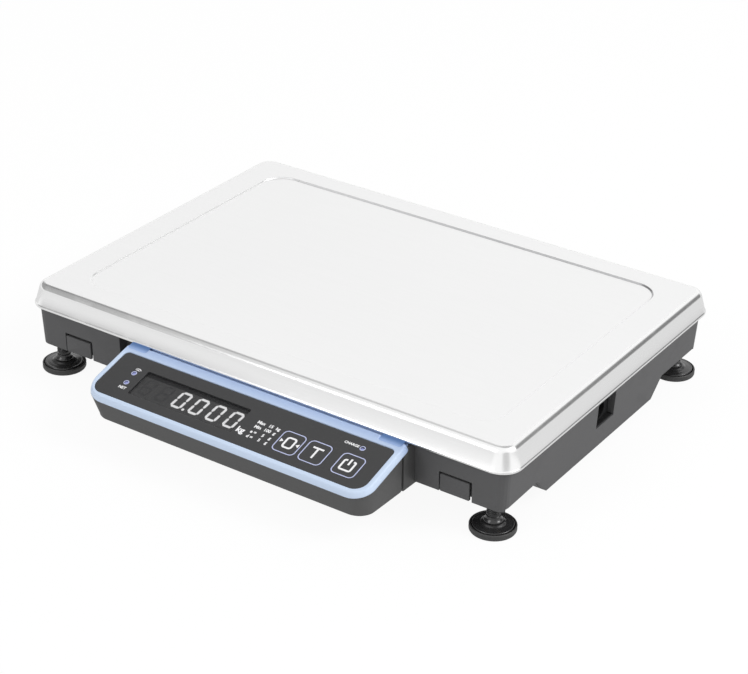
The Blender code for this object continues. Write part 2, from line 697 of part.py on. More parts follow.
def build_load_cell():
    """Cell plate, spacer, the binocular beam, and the screws that clamp them."""
    bm = bmesh.new()
    fixed = (-CELL_BOLT_X, 0.0)
    outline = rounded_outline(PLATE_LENGTH / 2, PLATE_WIDTH / 2, PLATE_CORNER, centre=fixed)
    slab(bm, outline, PLATE_TOP - PLATE, PLATE_TOP)
    plate = piece("cell_plate", bm, ZINC, centre)

    bm = bmesh.new()
    box(bm, (-CELL_LENGTH / 2, -CELL_WIDTH / 2, PLATE_TOP + SEAT),
        (-CELL_LENGTH / 2 + 2 * CELL_BOLT_INSET, CELL_WIDTH / 2, CELL_BOTTOM - SEAT))
    spacer = piece("cell_spacer", bm, ZINC, centre)

    bm = bmesh.new()
    box(bm, (-CELL_LENGTH / 2, -CELL_WIDTH / 2, CELL_BOTTOM), (CELL_LENGTH / 2, CELL_WIDTH / 2, CELL_TOP))
    beam = piece("load_cell", bm, ALUMINIUM, centre)
    middle = (CELL_BOTTOM + CELL_TOP) / 2
    bm = bmesh.new()
    for x in (-CELL_WAIST / 2, CELL_WAIST / 2):
        rod(bm, (x, middle), CELL_HOLE, -FAR, FAR, ROUND_SIDES, "Y")
    cut(beam, tool("cell_eyes", bm, centre))
    bm = bmesh.new()
    box(bm, (-CELL_WAIST / 2, -FAR, middle - CELL_HOLE / 4), (CELL_WAIST / 2, FAR, middle + CELL_HOLE / 4))
    cut(beam, tool("cell_slot", bm, centre))

    bolt_y = (-CELL_WIDTH / 4, CELL_WIDTH / 4)
    bolt_hole = CELL_BOLT + SCREW_CLEARANCE
    bm = bmesh.new()
    for y in bolt_y:
        rod(bm, (-CELL_BOLT_X, y), bolt_hole, 0.0, CELL_BOTTOM + CELL_BOLT_BITE + SEAT, PIN_SIDES)
        rod(bm, (CELL_BOLT_X, y), bolt_hole, CELL_TOP - CELL_BOLT_BITE - SEAT, FAR, PIN_SIDES)
    bolt_holes = tool("cell_bolt_holes", bm, centre)
    cut(beam, bolt_holes)
    cut(spacer, bolt_holes)
    cut(plate, bolt_holes)

    bm = bmesh.new()
    for x, y in plate_screw_places():
        rod(bm, (x, y), PLATE_SCREW, 0.0, FAR, BORE_SIDES)
    cut(plate, tool("plate_screw_holes", bm, centre))
    sunk = PLATE_TOP - PLATE
    head_top = sunk + PLATE / 2
    tip = CELL_BOTTOM + CELL_BOLT_BITE
    bm = bmesh.new()
    for x, y in plate_screw_places():
        rod(bm, (x, y), 2 * PLATE_SCREW, 0.0, head_top + SEAT, BORE_SIDES)
    for y in bolt_y:
        rod(bm, (-CELL_BOLT_X, y), CELL_BOLT_HEAD + SEAT, 0.0, head_top + SEAT, PIN_SIDES)
    cut(plate, tool("plate_sinks", bm, centre))

    profile = [
        (0.0, sunk), (CELL_BOLT_HEAD, sunk), (CELL_BOLT_HEAD, head_top),
        (CELL_BOLT, head_top), (CELL_BOLT, tip), (0.0, tip),
    ]
    for y, name in zip(bolt_y, ("front", "back")):
        bm = bmesh.new()
        turned(bm, profile, PIN_SIDES)
        piece(f"cell_base_bolt_{name}", bm, ZINC, centre, (-CELL_BOLT_X, y, 0.0), smooth=True)


def spider_outline(centre_width, tip_width, overrun):
    """Four arms from the middle to the posts, widest where they meet."""
    sides = ((1, 1), (-1, 1), (-1, -1), (1, -1))
    spots = [Vector((side_x * POST_X, side_y * POST_Y)) for side_x, side_y in sides]
    points = []
    for spot, after in zip(spots, spots[1:] + spots[:1]):
        along = spot.normalized()
        over = Vector((-along.y, along.x)) * tip_width
        tip = spot + along * overrun
        points += [tuple(tip - over), tuple(tip + over)]
        bisector = (along + after.normalized()).normalized()
        spread = math.sin(spot.angle(after) / 2)
        points.append(tuple(bisector * centre_width / spread))
    return points


def build_load_carrier():
    """The cast spider that takes the platter's load to the cell's free end."""
    top = CARRIER_BOTTOM + CARRIER_PLATE
    plate_low = -CELL_WIDTH / 2
    plate_high = CELL_LENGTH / 2 + CARRIER_PLATE_END
    half = (plate_high - plate_low) / 2
    middle = ((plate_high + plate_low) / 2, 0.0)
    bm = bmesh.new()
    outline = rounded_outline(half, CARRIER_PLATE_WIDTH / 2, CARRIER_CORNER, centre=middle)
    slab(bm, outline, CARRIER_BOTTOM, top)
    carrier = piece("load_carrier", bm, ALUMINIUM, centre)
    bm = bmesh.new()
    outline = spider_outline(CARRIER_ARM, CARRIER_ARM_TIP, POST_RADIUS / 4)
    slab(bm, outline, CARRIER_BOTTOM + SEAT, top - SEAT)
    add(carrier, tool("carrier_arms", bm, centre))
    bm = bmesh.new()
    rib = CARRIER_RIB / 2
    slab(bm, spider_outline(rib, rib, 0.0), CARRIER_BOTTOM + CARRIER_PLATE / 2, top + CARRIER_RIB_HEIGHT)
    add(carrier, tool("carrier_ribs", bm, centre))
    bm = bmesh.new()
    for x, y in stop_places():
        low, pad_seat = CARRIER_BOTTOM + SEAT * 2, PAD_RADIUS + SEAT * 3
        rod(bm, (x, y), POST_RADIUS, low, POST_TOP, ROUND_SIDES, end_radius=pad_seat)
    add(carrier, tool("carrier_posts", bm, centre))

    bolt_y = (-CELL_WIDTH / 4, CELL_WIDTH / 4)
    head_low = top + SEAT
    bm = bmesh.new()
    for y in bolt_y:
        rod(bm, (CELL_BOLT_X, y), CELL_BOLT + SCREW_CLEARANCE, 0.0, FAR, PIN_SIDES)
    holes = tool("carrier_bolt_holes", bm, centre)
    bm = bmesh.new()
    for y in bolt_y:
        rod(bm, (CELL_BOLT_X, y), CELL_BOLT_HEAD + SEAT * 2, top - SEAT / 2, FAR, PIN_SIDES)
    cut(carrier, holes, tool("carrier_bolt_seats", bm, centre))

    bm = bmesh.new()
    riser_x, riser_y = CELL_LENGTH / 2 - 2 * CELL_BOLT_INSET, CELL_WIDTH / 2
    box(bm, (riser_x, -riser_y, CELL_TOP + SEAT), (CELL_LENGTH / 2, riser_y, CARRIER_BOTTOM - SEAT))
    riser = piece("carrier_riser", bm, ZINC, centre)
    cut(riser, holes)

    tip = CELL_TOP - CELL_BOLT_BITE + STOP_GAP
    head_top = head_low + CARRIER_BOLT_HEAD
    profile = [
        (0.0, head_top), ((CELL_BOLT + CELL_BOLT_HEAD) / 2, head_top),
        (CELL_BOLT_HEAD, (head_low + head_top) / 2), (CELL_BOLT_HEAD, head_low),
        (CELL_BOLT, head_low), (CELL_BOLT, tip), (0.0, tip),
    ]
    for y, name in zip(bolt_y, ("front", "back")):
        bm = bmesh.new()
        turned(bm, profile, PIN_SIDES)
        piece(f"carrier_bolt_{name}", bm, ZINC, centre, (CELL_BOLT_X, y, 0.0), smooth=True)

    pad_low = POST_TOP + SEAT
    pad = [
        (0.0, pad_low), (PAD_RADIUS, pad_low), (PAD_RADIUS, PAD_TOP - PAD_EDGE),
        (PAD_RADIUS - PAD_EDGE, PAD_TOP), (0.0, PAD_TOP),
    ]
    stop_low, stop_seat, stop_top = DECK_UNDER - STOP_DEPTH, DECK_TOP + SEAT, CARRIER_BOTTOM - STOP_GAP
    stop = [
        (0.0, stop_low), (STOP_RADIUS, stop_low), (STOP_RADIUS, stop_seat),
        (STOP_HEAD, stop_seat), (STOP_HEAD, stop_top), (0.0, stop_top),
    ]
    for (x, y), name in zip(stop_places(), ("front_left", "back_left", "front_right", "back_right")):
        for part, profile, segments, material in (
            ("platter_pad", pad, ROUND_SIDES, RUBBER), ("overload_stop", stop, BORE_SIDES, ZINC),
        ):
            bm = bmesh.new()
            turned(bm, profile, segments)
            piece(f"{part}_{name}", bm, material, centre, (x, y, 0.0), smooth=True)


def build_feet():
    """Four levelling feet: rubber sole, swivel plate, threaded stem, and its insert."""
    plate_radius = SOLE_RADIUS - SOLE_LIP - PAD_GROOVE
    plate_low = SOLE_FLOOR + SEAT
    plate_top = plate_low + FOOT_PLATE
    sole = [
        (0.0, 0.0), (SOLE_RADIUS - FOOT_EDGE, 0.0), (SOLE_RADIUS, FOOT_EDGE),
        (SOLE_RADIUS, SOLE_HEIGHT - FOOT_EDGE), (SOLE_RADIUS - FOOT_EDGE / 2, SOLE_HEIGHT),
        (SOLE_RADIUS - SOLE_LIP, SOLE_HEIGHT),
        (SOLE_RADIUS - SOLE_LIP, SOLE_FLOOR), (0.0, SOLE_FLOOR),
    ]
    socket_floor = plate_low + FOOT_SOCKET
    neck = STEM_COLLAR + FOOT_EDGE
    plate = [
        (0.0, plate_low), (plate_radius, plate_low), (plate_radius, plate_top - 2 * FOOT_EDGE),
        (plate_radius - 2 * FOOT_EDGE, plate_top - FOOT_EDGE / 2), (neck, plate_top),
        (STEM_RADIUS + SEAT, plate_top), (STEM_RADIUS + SEAT, socket_floor), (0.0, socket_floor),
    ]
    collar_low = plate_top + SEAT
    collar_top = collar_low + STEM_COLLAR_HEIGHT
    stem = [
        (0.0, socket_floor + SEAT), (STEM_RADIUS, socket_floor + SEAT), (STEM_RADIUS, collar_low),
        (STEM_COLLAR, collar_low), (STEM_COLLAR, collar_top - FOOT_EDGE), (STEM_RADIUS, collar_top),
        (STEM_RADIUS, STEM_TOP - FOOT_EDGE), (STEM_RADIUS - FOOT_EDGE, STEM_TOP), (0.0, STEM_TOP),
    ]
    bore = STEM_RADIUS + THREAD_CLEARANCE
    insert = [
        (bore, INSERT_BOTTOM), (INSERT_RADIUS, INSERT_BOTTOM),
        (INSERT_RADIUS, INSERT_BOTTOM + INSERT_HEIGHT), (bore, INSERT_BOTTOM + INSERT_HEIGHT),
    ]
    for name, x, y in foot_places():
        axis = empty(f"foot_axis_{name}", (x, y, 0.0), centre)
        for part, profile, segments, material in (
            ("foot_sole", sole, ROUND_SIDES, RUBBER), ("foot_plate", plate, ROUND_SIDES, GLOSSY),
            ("foot_stem", stem, PIN_SIDES, GLOSSY),
        ):
            bm = bmesh.new()
            turned(bm, profile, segments)
            piece(f"{part}_{name}", bm, material, axis, smooth=True)
        bm = bmesh.new()
        turned(bm, insert, ROUND_SIDES)
        piece(f"foot_insert_{name}", bm, BRASS, axis, smooth=True)


def build_blanking_covers():
    """Two snap-in covers, flush with the leaning front wall."""
    for side, name in ((-1, "left"), (1, "right")):
        x = side * BLANK_X
        low, high = WALL_BOTTOM, WALL_BOTTOM + BLANK_HEIGHT
        face_low = -(HOUSING_Y - DRAFT * (WALL_TOP - low))
        face_high = -(HOUSING_Y - DRAFT * (WALL_TOP - high))
        outline = [
            (face_low, low), (face_low + BLANK_DEPTH, low),
            (face_high + BLANK_DEPTH, high), (face_high, high),
        ]
        bm = bmesh.new()
        across(bm, outline, -BLANK_WIDTH / 2, BLANK_WIDTH / 2)
        cover = piece(f"blanking_cover_{name}", bm, PLASTIC, centre, (x, 0.0, 0.0))
        bm = bmesh.new()
        back = face_high + DRAFT * BLANK_HEIGHT + WALL + SEAT
        box(bm, (-BLANK_LUG, back, low + RIB), (BLANK_LUG, back + RIB, high - RIB))
        add(cover, tool(f"blanking_bar_{name}", bm, centre, (x, 0.0, 0.0)))
        bm = bmesh.new()
        web = BLANK_WIDTH / 4
        web_face = face_high + BLANK_DEPTH / 2
        box(bm, (-web, web_face, low + RIB * 1.5), (web, back + RIB / 2, high - RIB * 1.5))
        add(cover, tool(f"blanking_web_{name}", bm, centre, (x, 0.0, 0.0)))


def build_power_socket():
    """A round low-voltage inlet behind the well's back wall."""
    face = HOUSING_X - WELL_DEPTH
    back = face - WELL_WALL - SEAT
    axis = (WELL_CENTRE_Y, SOCKET_Z)
    half = SOCKET_RADIUS + SOCKET_WALL
    bm = bmesh.new()
    box(
        bm, (back - SOCKET_BODY, WELL_CENTRE_Y - half, SOCKET_Z - half),
        (back, WELL_CENTRE_Y + half, SOCKET_Z + half),
    )
    socket = piece("power_socket", bm, GLOSSY, centre)
    bm = bmesh.new()
    rod(bm, axis, SOCKET_RADIUS, back - SEAT * 2, face + SOCKET_LIP, ROUND_SIDES, "X")
    add(socket, tool("socket_collar", bm, centre))
    bm = bmesh.new()
    rod(bm, axis, SOCKET_BORE, back - SOCKET_BODY * 0.75, FAR, ROUND_SIDES, "X")
    cut(socket, tool("socket_bore", bm, centre))
    bm = bmesh.new()
    rod(bm, axis, SOCKET_PIN, back - SOCKET_BODY * 0.9, face - SEAT, BORE_SIDES, "X")
    add(socket, tool("socket_pin", bm, centre))


def build_main_board():
    """The main board hangs from bosses under the deck, its parts facing down."""
    top = DECK_UNDER - BOARD_STANDOFF
    low = top - BOARD
    y = MAIN_BOARD_Y
    half, chip = MAIN_BOARD_LENGTH / 2, MAIN_BOARD_WIDTH / 4
    bm = bmesh.new()
    outline = rounded_outline(half, MAIN_BOARD_WIDTH / 2, BOARD_CORNER, centre=(MAIN_BOARD_X, y))
    slab(bm, outline, low, top)
    board = piece("main_board", bm, LAMINATE, centre)
    bm = bmesh.new()
    for start, end in CHIP_SPANS:
        box(
            bm, (MAIN_BOARD_X + half * start, y - chip, low - CHIP_HEIGHT),
            (MAIN_BOARD_X + half * end, y + chip, low + BOARD / 2),
        )
    for side in (-1, 1):
        spot = (MAIN_BOARD_X + half * CAPACITOR_SHARE, y + side * 1.3 * CAPACITOR)
        rod(bm, spot, CAPACITOR, low - CAPACITOR_HEIGHT, low + BOARD / 2, PIN_SIDES)
    add(board, tool("board_parts", bm, centre))
    bm = bmesh.new()
    for spot in board_screw_places():
        rod(bm, spot, BOARD_SCREW_HOLE, 0.0, FAR, BORE_SIDES)
    cut(board, tool("board_holes", bm, centre))


def build_battery():
    """Two cells side by side in one wrap, lying on the underside cover."""
    low = COVER_TOP + SEAT
    near = CELL_WIDTH / 2 + BATTERY_GAP
    half = BATTERY_LENGTH / 2
    bm = bmesh.new()
    box(bm, (-half, near + BATTERY_CELL, low), (half, near + 3 * BATTERY_CELL, low + 2 * BATTERY_CELL))
    pack = piece("battery_pack", bm, WRAP, centre, (CELL_BOLT_X, 0.0, 0.0))
    for index in (0, 1):
        bm = bmesh.new()
        axis = (near + BATTERY_CELL * (1 + 2 * index), low + BATTERY_CELL)
        end = half + SEAT * (1 + index)
        rod(bm, axis, BATTERY_CELL, -end, end, ROUND_SIDES, "X")
        add(pack, tool(f"battery_end_{index}", bm, centre, (CELL_BOLT_X, 0.0, 0.0)))


def build_level():
    """The bubble level on the deck, seen when the platter is off."""
    low = DECK_TOP + SEAT
    top = low + LEVEL_HEIGHT
    bore = LEVEL_RADIUS - LEVEL_WALL
    floor = low + LEVEL_WALL
    cup = [(0.0, low), (LEVEL_RADIUS, low), (LEVEL_RADIUS, top), (bore, top), (bore, floor), (0.0, floor)]
    vial, vial_low, vial_top = bore - SEAT, floor + SEAT, top - SEAT
    dome = LEVEL_WALL / 2
    lens = [
        (0.0, vial_low), (vial, vial_low), (vial, vial_top - dome),
        (vial * LENS_DOME, vial_top), (0.0, vial_top),
    ]
    for name, profile, material in (("level_cup", cup, GLOSSY), ("level_vial", lens, CLEAR)):
        bm = bmesh.new()
        turned(bm, profile, ROUND_SIDES)
        piece(name, bm, material, centre, (LEVEL_X, LEVEL_Y, 0.0), smooth=True)


def head_outline(outset):
    """The bezel's outline in the head's own plane, moved out by a flare or in by a border."""
    half_x = HEAD_WIDTH / 2 + outset
    low, high = -outset, BEZEL_DEPTH
    return rounded_outline(
        half_x, (high - low) / 2, BEZEL_FRONT_CORNER + outset, BEZEL_BACK_CORNER, (0.0, (high + low) / 2)
    )


def panel_outline(inset):
    """The opening in the bezel, moved in by a gap or a ledge."""
    half_x = HEAD_WIDTH / 2 - BEZEL_BORDER - inset
    low = BEZEL_BORDER + inset
    high = BEZEL_DEPTH - BEZEL_BACK_BORDER - inset
    front_corner = BEZEL_FRONT_CORNER - BEZEL_BORDER - inset
    back_corner = BEZEL_BACK_CORNER - BEZEL_BORDER / 2
    return rounded_outline(
        half_x, (high - low) / 2, front_corner, back_corner, (0.0, (high + low) / 2)
    )


def head_post_places():
    """Where the head's four screws stand, in the head's own plane."""
    for x in (-HEAD_WIDTH / 2 + HEAD_POST_INSET, HEAD_WIDTH / 2 - HEAD_POST_INSET):
        for along in (HEAD_POST_FRONT, BEZEL_DEPTH - BEZEL_BACK_BORDER - HEAD_POST_BACK):
            yield x, along


def head_post_spots():
    """The same places seen from above, for the upright posts and their screws."""
    for x, along in head_post_places():
        yield HEAD_CENTRE_X + x, HEAD_FRONT_Y + along * math.cos(HEAD_TILT)


def key_places():
    """Where each key's middle lies across the head."""
    return {name: share * HEAD_WIDTH for name, share in KEY_PLACE_SHARES.items()}


def indicator_places():
    """Where each lens's middle lies, across the head and up it."""
    shares = INDICATOR_PLACE_SHARES.items()
    return {name: (share * HEAD_WIDTH, INDICATOR_ROWS[name]) for name, share in shares}


def above_plane(name, depth):
    """All that lies above a plane parallel to the panel, at a depth below the bezel's face."""
    bm = bmesh.new()
    box(bm, (-FAR, -FAR, -depth), (FAR, FAR, FAR))
    return tool(name, bm, head)


def build_bezel():
    """The blue frame: flared sides, a rebate for the panel and a dip at each back corner."""
    bm = bmesh.new()
    stack(bm, [
        (head_outline(BEZEL_FLARE), -BEZEL_THICKNESS), (head_outline(BEZEL_FLARE / 4), -BEZEL_EDGE * 1.4),
        (head_outline(0.0), -BEZEL_EDGE / 2), (head_outline(-BEZEL_EDGE), 0.0),
    ])
    bezel = piece("head_bezel", bm, BLUE, head, smooth=True)
    bm = bmesh.new()
    slab(bm, panel_outline(-SEAT), -PANEL_FLOOR - SEAT, FAR)
    for side in (-1, 1):
        outer = side * (HEAD_WIDTH / 2 - BEZEL_DIP_RIM)
        inner = outer - side * BEZEL_DIP_LENGTH
        box(
            bm, (min(inner, outer), BEZEL_DEPTH - BEZEL_DIP_DEPTH, -BEZEL_DIP),
            (max(inner, outer), BEZEL_DEPTH + BEZEL_DIP_DEPTH, FAR / 2),
        )
    cut(bezel, tool("bezel_rebate", bm, head))
    bm = bmesh.new()
    slab(bm, panel_outline(BEZEL_LEDGE), -FAR, FAR)
    cut(bezel, tool("bezel_opening", bm, head))


def build_panel():
    """The dark panel with its window, three keys and three indicator lenses."""
    bm = bmesh.new()
    slab(bm, panel_outline(0.0), -PANEL_FLOOR, -PANEL_DROP)
    panel = piece("keypad_panel", bm, OVERLAY, head)
    window_x, window_y = WINDOW_PLACE_SHARE * HEAD_WIDTH, WINDOW_ROW
    half_x, half_y = WINDOW_LENGTH / 2, WINDOW_HEIGHT / 2
    bm = bmesh.new()
    box(bm, (window_x - half_x, window_y - half_y, -FAR), (window_x + half_x, window_y + half_y, FAR))
    for x in key_places().values():
        outline = rounded_outline(KEY_LENGTH / 2, KEY_HEIGHT / 2, KEY_CORNER, centre=(x, KEY_ROW))
        slab(bm, outline, -FAR, FAR)
    for x, y in indicator_places().values():
        rod(bm, (x, y), INDICATOR_RADIUS + SEAT / 2, -FAR, FAR, PIN_SIDES)
    cut(panel, tool("panel_openings", bm, head))

    window_top = -PANEL_DROP - WINDOW_RECESS
    bm = bmesh.new()
    box(bm, (window_x - half_x + KEY_GAP, window_y - half_y + KEY_GAP, window_top - WINDOW),
        (window_x + half_x - KEY_GAP, window_y + half_y - KEY_GAP, window_top))
    piece("display_window", bm, SMOKED, head)

    board_top = -HEAD_BOARD_DEPTH
    bm = bmesh.new()
    block_x, block_y = half_x - MODULE_INSET, half_y - MODULE_INSET
    outline = rounded_outline(block_x, block_y, MODULE_INSET, centre=(window_x, window_y))
    slab(bm, outline, board_top + SEAT, window_top - WINDOW - SEAT)
    piece("display_module", bm, WHITE, head)

    for name, x in key_places().items():
        bm = bmesh.new()
        outline = rounded_outline(KEY_LENGTH / 2 - KEY_GAP, KEY_HEIGHT / 2 - KEY_GAP, KEY_CORNER - KEY_GAP)
        slab(bm, outline, -PANEL_FLOOR, -PANEL_DROP)
        key = piece(name, bm, OVERLAY, head, (x, KEY_ROW, 0.0))
        bm = bmesh.new()
        rod(bm, (0.0, 0.0), PLUNGER_RADIUS, -PANEL_FLOOR - PLUNGER, -PANEL_DROP - PANEL / 2, PIN_SIDES)
        add(key, tool(f"{name}_plunger", bm, head, (x, KEY_ROW, 0.0)))

    top, foot = -PANEL_DROP, board_top + SEAT
    lens = [
        (0.0, foot), (INDICATOR_RADIUS, foot), (INDICATOR_RADIUS, top - PANEL_DROP),
        (INDICATOR_RADIUS * LENS_DOME, top), (0.0, top),
    ]
    for name, (x, y) in indicator_places().items():
        bm = bmesh.new()
        turned(bm, lens, PIN_SIDES)
        piece(name, bm, LENS, head, (x, y, 0.0), smooth=True)


def build_head_board():
    """The board under the panel, with a switch under each key."""
    board_top = -HEAD_BOARD_DEPTH
    low = BEZEL_BORDER + BEZEL_LEDGE + MODULE_INSET
    high = BEZEL_DEPTH - BEZEL_BACK_BORDER - BEZEL_LEDGE - MODULE_INSET
    half = max(key_places().values()) + SWITCH_RADIUS
    bm = bmesh.new()
    outline = rounded_outline(half, (high - low) / 2, BOARD_CORNER, centre=(0.0, (high + low) / 2))
    slab(bm, outline, board_top - BOARD, board_top)
    board = piece("head_board", bm, LAMINATE, head)
    switch_top = -PANEL_FLOOR - PLUNGER - KEY_AIR
    for part, radius, low, top in (
        ("switch_bodies", SWITCH_RADIUS, board_top - BOARD / 2, switch_top - SWITCH_STEM),
        ("switch_stems", PLUNGER_RADIUS * 0.7, board_top - BOARD / 3, switch_top),
    ):
        bm = bmesh.new()
        for x in key_places().values():
            rod(bm, (x, KEY_ROW), radius, low, top, PIN_SIDES)
        add(board, tool(part, bm, head))


def build_head_housing():
    """The head's lower shell, cut off on the slant of its bezel, with posts and bosses inside."""
    bezel_low = BEZEL_THICKNESS + SEAT
    back = HEAD_REAR_Y - SEAT
    front = HEAD_FRONT_Y - BEZEL_REACH + HEAD_LIP
    half_x = HEAD_WIDTH / 2 + BEZEL_FLARE - HEAD_LIP
    middle = (HEAD_CENTRE_X, (front + back) / 2)
    half_y = (back - front) / 2
    lean = HEAD_LEAN + HEAD_ROUND

    def layer(inset, height):
        front_corner, back_corner = BEZEL_FRONT_CORNER - inset, HEAD_BACK_CORNER - inset
        return rounded_outline(half_x - inset, half_y - inset, front_corner, back_corner, middle), height

    bm = bmesh.new()
    stack(bm, [
        layer(lean, HEAD_BOTTOM),
        layer(lean - HEAD_ROUND * 0.7, HEAD_BOTTOM + HEAD_ROUND * 0.3),
        layer(HEAD_LEAN, HEAD_BOTTOM + HEAD_ROUND),
        layer(0.0, HEAD_FRONT_Z), layer(0.0, HEAD_BACK_HEIGHT),
    ])
    shell = piece("head_housing", bm, PLASTIC, centre, smooth=True)
    cut(shell, above_plane("above_bezel_seat", bezel_low))
    bm = bmesh.new()
    stack(bm, [
        layer(HEAD_LEAN + HEAD_WALL, HEAD_BOTTOM + HEAD_WALL),
        layer(HEAD_WALL, HEAD_BACK_HEIGHT + HEAD_WALL),
    ])
    cut(shell, tool("head_cavity", bm, centre))

    floor = HEAD_BOTTOM + HEAD_WALL / 2
    bm = bmesh.new()
    for spot in head_post_spots():
        rod(bm, spot, HEAD_POST, floor, HEAD_BACK_HEIGHT, PIN_SIDES)
    posts = tool("head_posts", bm, centre)
    cut(posts, above_plane("above_ledge", bezel_low))
    add(shell, posts)
    bm = bmesh.new()
    for share, along in BOARD_REST_PLACES:
        y = HEAD_FRONT_Y + along * math.cos(HEAD_TILT) + HEAD_BOARD_DEPTH * math.sin(HEAD_TILT)
        rod(bm, (HEAD_CENTRE_X + share * HEAD_WIDTH, y), BOARD_REST, floor, HEAD_BACK_HEIGHT, BORE_SIDES)
    rests = tool("board_rests", bm, centre)
    cut(rests, above_plane("below_head_board", HEAD_BOARD_DEPTH + BOARD + SEAT))
    add(shell, rests)
    level = neck_screw_z()
    bm = bmesh.new()
    for x in neck_screw_places():
        boss_end = back - NECK_SCREW_BITE - HEAD_WALL / 2
        rod(bm, (x, level), NECK_BOSS, boss_end, back - HEAD_WALL / 2, PIN_SIDES, "Y")
    add(shell, tool("rear_bosses", bm, centre))

    bm = bmesh.new()
    screw_end = back - NECK_SCREW_BITE - SEAT
    for x in neck_screw_places():
        rod(bm, (x, level), NECK_SCREW + SCREW_CLEARANCE, screw_end, back + WALL, PIN_SIDES, "Y")
    box(bm, lead_slot()[0], lead_slot()[1])
    for spot in head_post_spots():
        rod(bm, spot, HEAD_SCREW, 0.0, FAR, BORE_SIDES)
    cut(shell, tool("head_holes", bm, centre))
    bm = bmesh.new()
    for spot in head_post_spots():
        rod(bm, spot, HEAD_SCREW_SINK, 0.0, HEAD_BOTTOM + HEAD_WALL, PIN_SIDES)
    cut(shell, tool("head_sinks", bm, centre))


def build_neck():
    """The hollow neck between the base's pocket and the head, open towards the base."""
    left = HEAD_LEFT - BEZEL_FLARE + HEAD_LIP
    right = HEAD_RIGHT + BEZEL_FLARE - HEAD_LIP
    front = HEAD_REAR_Y
    back = POCKET_Y - SEAT
    top = HEAD_BACK_HEIGHT
    bm = bmesh.new()
    box(bm, (left, front, HEAD_BOTTOM), (right, back, top))
    neck = piece("head_neck", bm, PLASTIC, centre)
    bm = bmesh.new()
    box(
        bm, (left + HEAD_WALL, front + HEAD_WALL, HEAD_BOTTOM + HEAD_WALL),
        (right - HEAD_WALL, back + HEAD_WALL, LEAD_TOP + LEAD_SLOT),
    )
    cut(neck, tool("neck_cavity", bm, centre), above_plane("above_neck", BEZEL_THICKNESS + SEAT))
    level = neck_screw_z()
    bm = bmesh.new()
    for x in neck_screw_places():
        rod(bm, (x, level), NECK_BOSS, front + HEAD_WALL / 2, back, PIN_SIDES, "Y")
    add(neck, tool("neck_bosses", bm, centre))
    bm = bmesh.new()
    for x in neck_screw_places():
        rod(bm, (x, level), NECK_SCREW + SCREW_CLEARANCE, front - WALL, back + WALL, PIN_SIDES, "Y")
    box(bm, lead_slot()[0], lead_slot()[1])
    cut(neck, tool("neck_holes", bm, centre))

    seat = POCKET_Y + WALL + SEAT
    head_end = seat + NECK_SCREW_HEAD * 0.7
    for x, name in zip(neck_screw_places(), ("left", "right")):
        bm = bmesh.new()
        rod(bm, (0.0, level), NECK_SCREW, HEAD_REAR_Y - NECK_SCREW_BITE, seat + SEAT, PIN_SIDES, "Y")
        screw = piece(f"neck_screw_{name}", bm, ZINC, centre, (x, 0.0, 0.0), smooth=True)
        bm = bmesh.new()
        rod(bm, (0.0, level), NECK_SCREW_HEAD, seat, head_end, PIN_SIDES, "Y", NECK_SCREW_HEAD * 0.8)
        add(screw, tool(f"neck_screw_head_{name}", bm, centre, (x, 0.0, 0.0)))


def build_lead():
    """The flat lead from the head's board, through the neck, to the main board."""
    pitch = LEAD_THICKNESS / 2
    flat = LEAD_TOP - pitch
    depth = HEAD_BOARD_DEPTH + BOARD + SEAT + pitch
    tip_y = HEAD_FRONT_Y + LEAD_START * math.cos(HEAD_TILT) + depth * math.sin(HEAD_TILT)
    tip_z = HEAD_FRONT_Z + LEAD_START * math.sin(HEAD_TILT) - depth * math.cos(HEAD_TILT)
    end = MAIN_BOARD_Y - MAIN_BOARD_WIDTH / 2 + LEAD_WIDTH / 2
    ramp = tip_y + 3 * LEAD_THICKNESS
    top = [(tip_y, tip_z + pitch), (ramp, flat + pitch), (end, flat + pitch)]
    low = [(end, flat - pitch), (ramp, flat - pitch), (tip_y, tip_z - pitch)]
    bm = bmesh.new()
    across(bm, top + low, HEAD_CENTRE_X - LEAD_WIDTH / 2, HEAD_CENTRE_X + LEAD_WIDTH / 2)
    piece("display_lead", bm, GREY, centre)


empty_the_scene()

STEEL = finish("platter_steel", (0.88, 0.88, 0.89), 0.28, 1.0)
PLASTIC = finish("base_plastic", (0.13, 0.13, 0.135), 0.60)
GLOSSY = finish("glossy_black", (0.02, 0.02, 0.022), 0.18)
RUBBER = finish("black_rubber", (0.03, 0.03, 0.03), 0.75)
BLUE = finish("bezel_blue", (0.52, 0.66, 0.93), 0.42)
OVERLAY = finish("panel_overlay", (0.07, 0.07, 0.075), 0.50)
SMOKED = finish("smoked_window", (0.03, 0.03, 0.035), 0.10, alpha=0.5)
WHITE = finish("display_white", (0.85, 0.85, 0.85), 0.50)
LENS = finish("indicator_lens", (0.45, 0.45, 0.75), 0.20)
ZINC = finish("zinc_steel", (0.62, 0.62, 0.60), 0.35, 1.0)
ALUMINIUM = finish("cast_aluminium", (0.70, 0.70, 0.71), 0.45, 1.0)
BRASS = finish("brass", (0.70, 0.55, 0.25), 0.35, 1.0)
LAMINATE = finish("board_laminate", (0.03, 0.22, 0.10), 0.50)
WRAP = finish("battery_wrap", (0.08, 0.20, 0.45), 0.40)
CLEAR = finish("clear_acrylic", (0.80, 0.92, 0.55), 0.08, alpha=0.5)
GREY = finish("lead_grey", (0.55, 0.55, 0.56), 0.55)
TOOL = finish("cutting_tool", (1.0, 0.3, 0.1), 1.0)

centre = empty("platter_centre", (0.0, PLATTER_CENTRE_Y, 0.0))
head = empty("head_front_edge", (HEAD_CENTRE_X, HEAD_FRONT_Y, HEAD_FRONT_Z), centre, HEAD_TILT)

